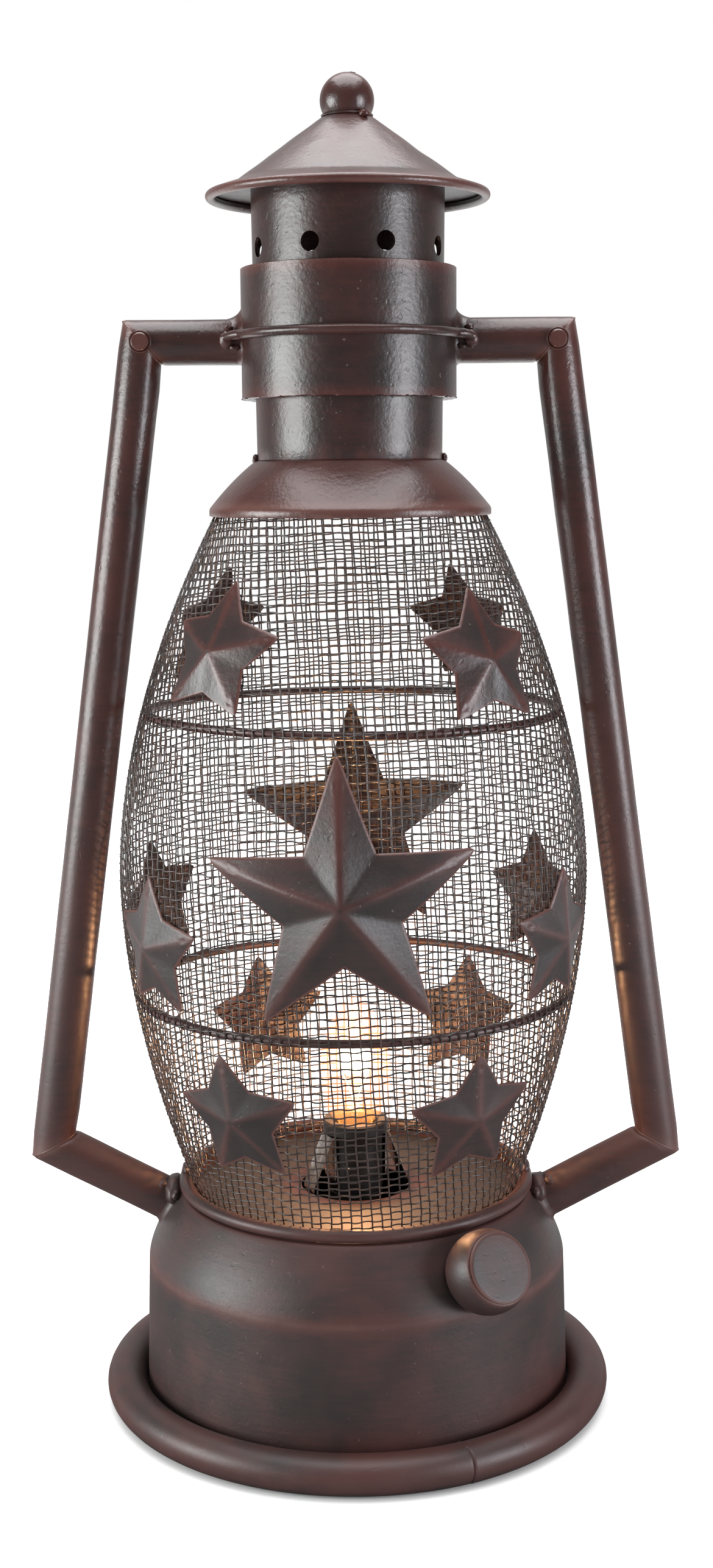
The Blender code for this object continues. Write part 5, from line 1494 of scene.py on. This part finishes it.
def add_softbox(name, power, azimuth_deg, elevation_deg, width, height, share, colour):
    """A large area lamp aimed at the middle of the lamp."""
    data = bpy.data.lights.new(name, "AREA")
    data.shape = "RECTANGLE"
    data.size = width
    data.size_y = height
    data.energy = power * share
    data.color = colour
    box = bpy.data.objects.new(name, data)
    elevation = math.radians(elevation_deg)
    out = around(math.radians(azimuth_deg), math.cos(elevation), math.sin(elevation))
    box.location = SOFTBOX_AIM + out * SOFTBOX_DISTANCE
    box.rotation_euler = out.to_track_quat("Z", "Y").to_euler()
    bpy.context.scene.collection.objects.link(box)


def make_stage():
    """White paper floor, soft lamps, white surroundings and the camera."""
    scene = bpy.context.scene
    looks = scene.lantern_looks
    outline = [(0.0, -0.1), (3000.0, -0.1), (3000.0, -2.0), (0.0, -2.0)]
    floor = bpy.data.objects.new("paper_floor", Shape().lathe(outline, 96).mesh("paper_floor"))
    floor.data.materials.append(make_paper())
    scene.collection.objects.link(floor)
    for name, settings in SOFTBOXES.items():
        add_softbox(name, looks.softbox_power, *settings)
    scene.world = make_room(looks.room_level)

    data = bpy.data.cameras.new("photo_camera")
    data.sensor_fit = "VERTICAL"
    data.sensor_height = 36.0
    data.lens = looks.lens
    data.clip_start = 0.05
    camera = bpy.data.objects.new("photo_camera", data)
    camera.matrix_world = (Matrix.Translation(CAMERA_PLACE) @ Matrix.Rotation(CAMERA_PITCH, 4, "X")
                           @ Matrix.Rotation(CAMERA_ROLL, 4, "Z"))
    scene.collection.objects.link(camera)
    scene.camera = camera
    scene.view_settings.view_transform = "Standard"


# Settings, operators and panel

class LanternLooks(bpy.types.PropertyGroup):
    """Colours and light of the lamp and its studio."""
    paint_dark: bpy.props.FloatVectorProperty(
        name="Paint", description="Dark ground colour of the bronze paint", subtype="COLOR", size=3,
        default=(0.021, 0.014, 0.013), min=0.0, max=1.0)
    paint_red: bpy.props.FloatVectorProperty(
        name="Rubbed paint", description="Reddish colour of the rubbed patches", subtype="COLOR", size=3,
        default=(0.070, 0.023, 0.019), min=0.0, max=1.0)
    # Also the colour of the painted highlights on the crease, the shoulder and the finial's top.
    paint_edge_and_highlight: bpy.props.FloatVectorProperty(
        name="Worn edge", description="Colour of worn rims and ridges", subtype="COLOR", size=3,
        default=(0.125, 0.055, 0.045), min=0.0, max=1.0)
    # Darker colour painted over the pan: painted shade.
    pan_painted_shade: bpy.props.FloatVectorProperty(
        name="Pan", description="Colour of the sooty paint on the pan under the bulb", subtype="COLOR",
        size=3, default=(0.027, 0.022, 0.019), min=0.0, max=1.0)
    paint_dust: bpy.props.FloatVectorProperty(
        name="Dust", description="Colour of the fine specks in the paint", subtype="COLOR", size=3,
        default=(0.16, 0.13, 0.12), min=0.0, max=1.0)
    paint_roughness: bpy.props.FloatProperty(
        name="Paint roughness", description="How dull the paint is", default=0.345, min=0.05, max=1.0)
    wire_dark: bpy.props.FloatVectorProperty(
        name="Wire", description="Dark colour of the woven wire", subtype="COLOR", size=3,
        default=(0.022, 0.015, 0.013), min=0.0, max=1.0)
    wire_red: bpy.props.FloatVectorProperty(
        name="Rubbed wire", description="Reddish colour of the rubbed wire", subtype="COLOR", size=3,
        default=(0.072, 0.040, 0.032), min=0.0, max=1.0)
    bulb_colour: bpy.props.FloatVectorProperty(
        name="Bulb light", description="Colour of the light inside", subtype="COLOR", size=3,
        default=(1.0, 0.50, 0.23), min=0.0, max=1.0)
    bulb_power: bpy.props.FloatProperty(
        name="Bulb power", description="Light of the small bulb", default=0.38, min=0.0, subtype="POWER")
    filament_strength: bpy.props.FloatProperty(
        name="Filament glow", description="How bright the filament itself looks", default=30.0, min=0.0)
    glow_height: bpy.props.FloatProperty(
        name="Glow height", description="Height of the filament's middle above the table",
        default=0.1107, unit="LENGTH")
    softbox_power: bpy.props.FloatProperty(
        name="Softbox power", description="Light of the left softbox", default=11.0, min=0.0,
        subtype="POWER")
    room_level: bpy.props.FloatProperty(
        name="Room light", description="Even light from the white room", default=0.24, min=0.0, max=1.0)
    lens: bpy.props.FloatProperty(
        name="Lens", description="Focal length of the camera in millimetres", default=47.5, min=10.0)


class LanternMesh(bpy.types.PropertyGroup):
    """Sizes of the woven mesh."""
    wire_diameter: bpy.props.FloatProperty(
        name="Wire diameter", description="Thickness of the wire", default=0.00050, unit="LENGTH",
        precision=5)
    upright_spacing: bpy.props.FloatProperty(
        name="Uprights apart", description="Distance between upright wires", default=0.00293,
        unit="LENGTH", precision=5)
    round_spacing: bpy.props.FloatProperty(
        name="Rounds apart", description="Distance between level wires", default=0.00256,
        unit="LENGTH", precision=5)
    lean: bpy.props.FloatProperty(
        name="Lean", description="How far the weave is turned on the globe", default=0.045, subtype="ANGLE")
    crimp: bpy.props.FloatProperty(
        name="Crimp", description="How far the level wires wave in and out", default=0.00028,
        unit="LENGTH", precision=5)
    unevenness: bpy.props.FloatProperty(
        name="Unevenness", description="How far wires stray from their places", default=0.0004,
        unit="LENGTH", precision=5)


class LANTERN_OT_stage(bpy.types.Operator):
    """Set up the paper floor, the soft lamps and the camera"""
    bl_idname = "lantern.stage"
    bl_label = "Studio"

    def execute(self, context):
        make_stage()
        return {"FINISHED"}


class LANTERN_OT_base(bpy.types.Operator):
    """Build the foot ring, the base shell, the bead and the cord grommet"""
    bl_idname = "lantern.base"
    bl_label = "Base"

    def execute(self, context):
        make_base()
        return {"FINISHED"}


class LANTERN_OT_woven_mesh(bpy.types.Operator):
    """Weave the two sheets of the mesh globe"""
    bl_idname = "lantern.woven_mesh"
    bl_label = "Woven mesh"

    def execute(self, context):
        make_woven_mesh()
        return {"FINISHED"}


class LANTERN_OT_hoops(bpy.types.Operator):
    """Build the two hoops inside the mesh"""
    bl_idname = "lantern.hoops"
    bl_label = "Hoops"

    def execute(self, context):
        make_hoops()
        return {"FINISHED"}


class LANTERN_OT_chimney(bpy.types.Operator):
    """Build the shoulder, chimney, sleeve, cap and finial"""
    bl_idname = "lantern.chimney"
    bl_label = "Chimney and cap"

    def execute(self, context):
        make_shoulder()
        make_chimney_tube()
        make_sleeve()
        make_cap()
        make_finial()
        return {"FINISHED"}


class LANTERN_OT_handles(bpy.types.Operator):
    """Build the handle tubes, pins, tie wires and welds"""
    bl_idname = "lantern.handles"
    bl_label = "Handle frame"

    def execute(self, context):
        make_handles()
        return {"FINISHED"}


class LANTERN_OT_stars(bpy.types.Operator):
    """Press the fourteen stars"""
    bl_idname = "lantern.stars"
    bl_label = "Stars"

    def execute(self, context):
        make_stars()
        return {"FINISHED"}


class LANTERN_OT_holder(bpy.types.Operator):
    """Build the lamp holder and its clips"""
    bl_idname = "lantern.holder"
    bl_label = "Lamp holder"

    def execute(self, context):
        make_holder()
        return {"FINISHED"}


class LANTERN_OT_bulb(bpy.types.Operator):
    """Build the bulb with its glowing filament"""
    bl_idname = "lantern.bulb"
    bl_label = "Bulb"

    def execute(self, context):
        make_bulb()
        return {"FINISHED"}


class LANTERN_OT_knob(bpy.types.Operator):
    """Build the knob and finish the fittings behind it"""
    bl_idname = "lantern.knob"
    bl_label = "Knob and fittings"

    def execute(self, context):
        make_knob()
        dress_carried_nodes()
        return {"FINISHED"}


STEPS = (LANTERN_OT_stage, LANTERN_OT_base, LANTERN_OT_woven_mesh, LANTERN_OT_hoops, LANTERN_OT_chimney,
         LANTERN_OT_handles, LANTERN_OT_stars, LANTERN_OT_holder, LANTERN_OT_bulb, LANTERN_OT_knob)


class LANTERN_PT_panel(bpy.types.Panel):
    """Lists the steps that build the lamp"""
    bl_idname = "LANTERN_PT_panel"
    bl_label = "Mesh lantern lamp"
    bl_space_type = "VIEW_3D"
    bl_region_type = "UI"
    bl_category = "Lantern"

    def draw(self, context):
        layout = self.layout
        for settings in (context.scene.lantern_looks, context.scene.lantern_mesh):
            column = layout.column()
            for name in settings.__annotations__:
                column.prop(settings, name)
        for step in STEPS:
            layout.operator(step.bl_idname)


CLASSES = (LanternLooks, LanternMesh) + STEPS + (LANTERN_PT_panel,)


def register():
    for cls in CLASSES:
        bpy.utils.register_class(cls)
    bpy.types.Scene.lantern_looks = bpy.props.PointerProperty(type=LanternLooks)
    bpy.types.Scene.lantern_mesh = bpy.props.PointerProperty(type=LanternMesh)


def unregister():
    del bpy.types.Scene.lantern_mesh
    del bpy.types.Scene.lantern_looks
    for cls in reversed(CLASSES):
        bpy.utils.unregister_class(cls)


def main():
    register()
    bpy.ops.lantern.stage()
    bpy.ops.lantern.base()
    bpy.ops.lantern.woven_mesh()
    bpy.ops.lantern.hoops()
    bpy.ops.lantern.chimney()
    bpy.ops.lantern.handles()
    bpy.ops.lantern.stars()
    bpy.ops.lantern.holder()
    bpy.ops.lantern.bulb()
    bpy.ops.lantern.knob()


if __name__ == "__main__":
    main()
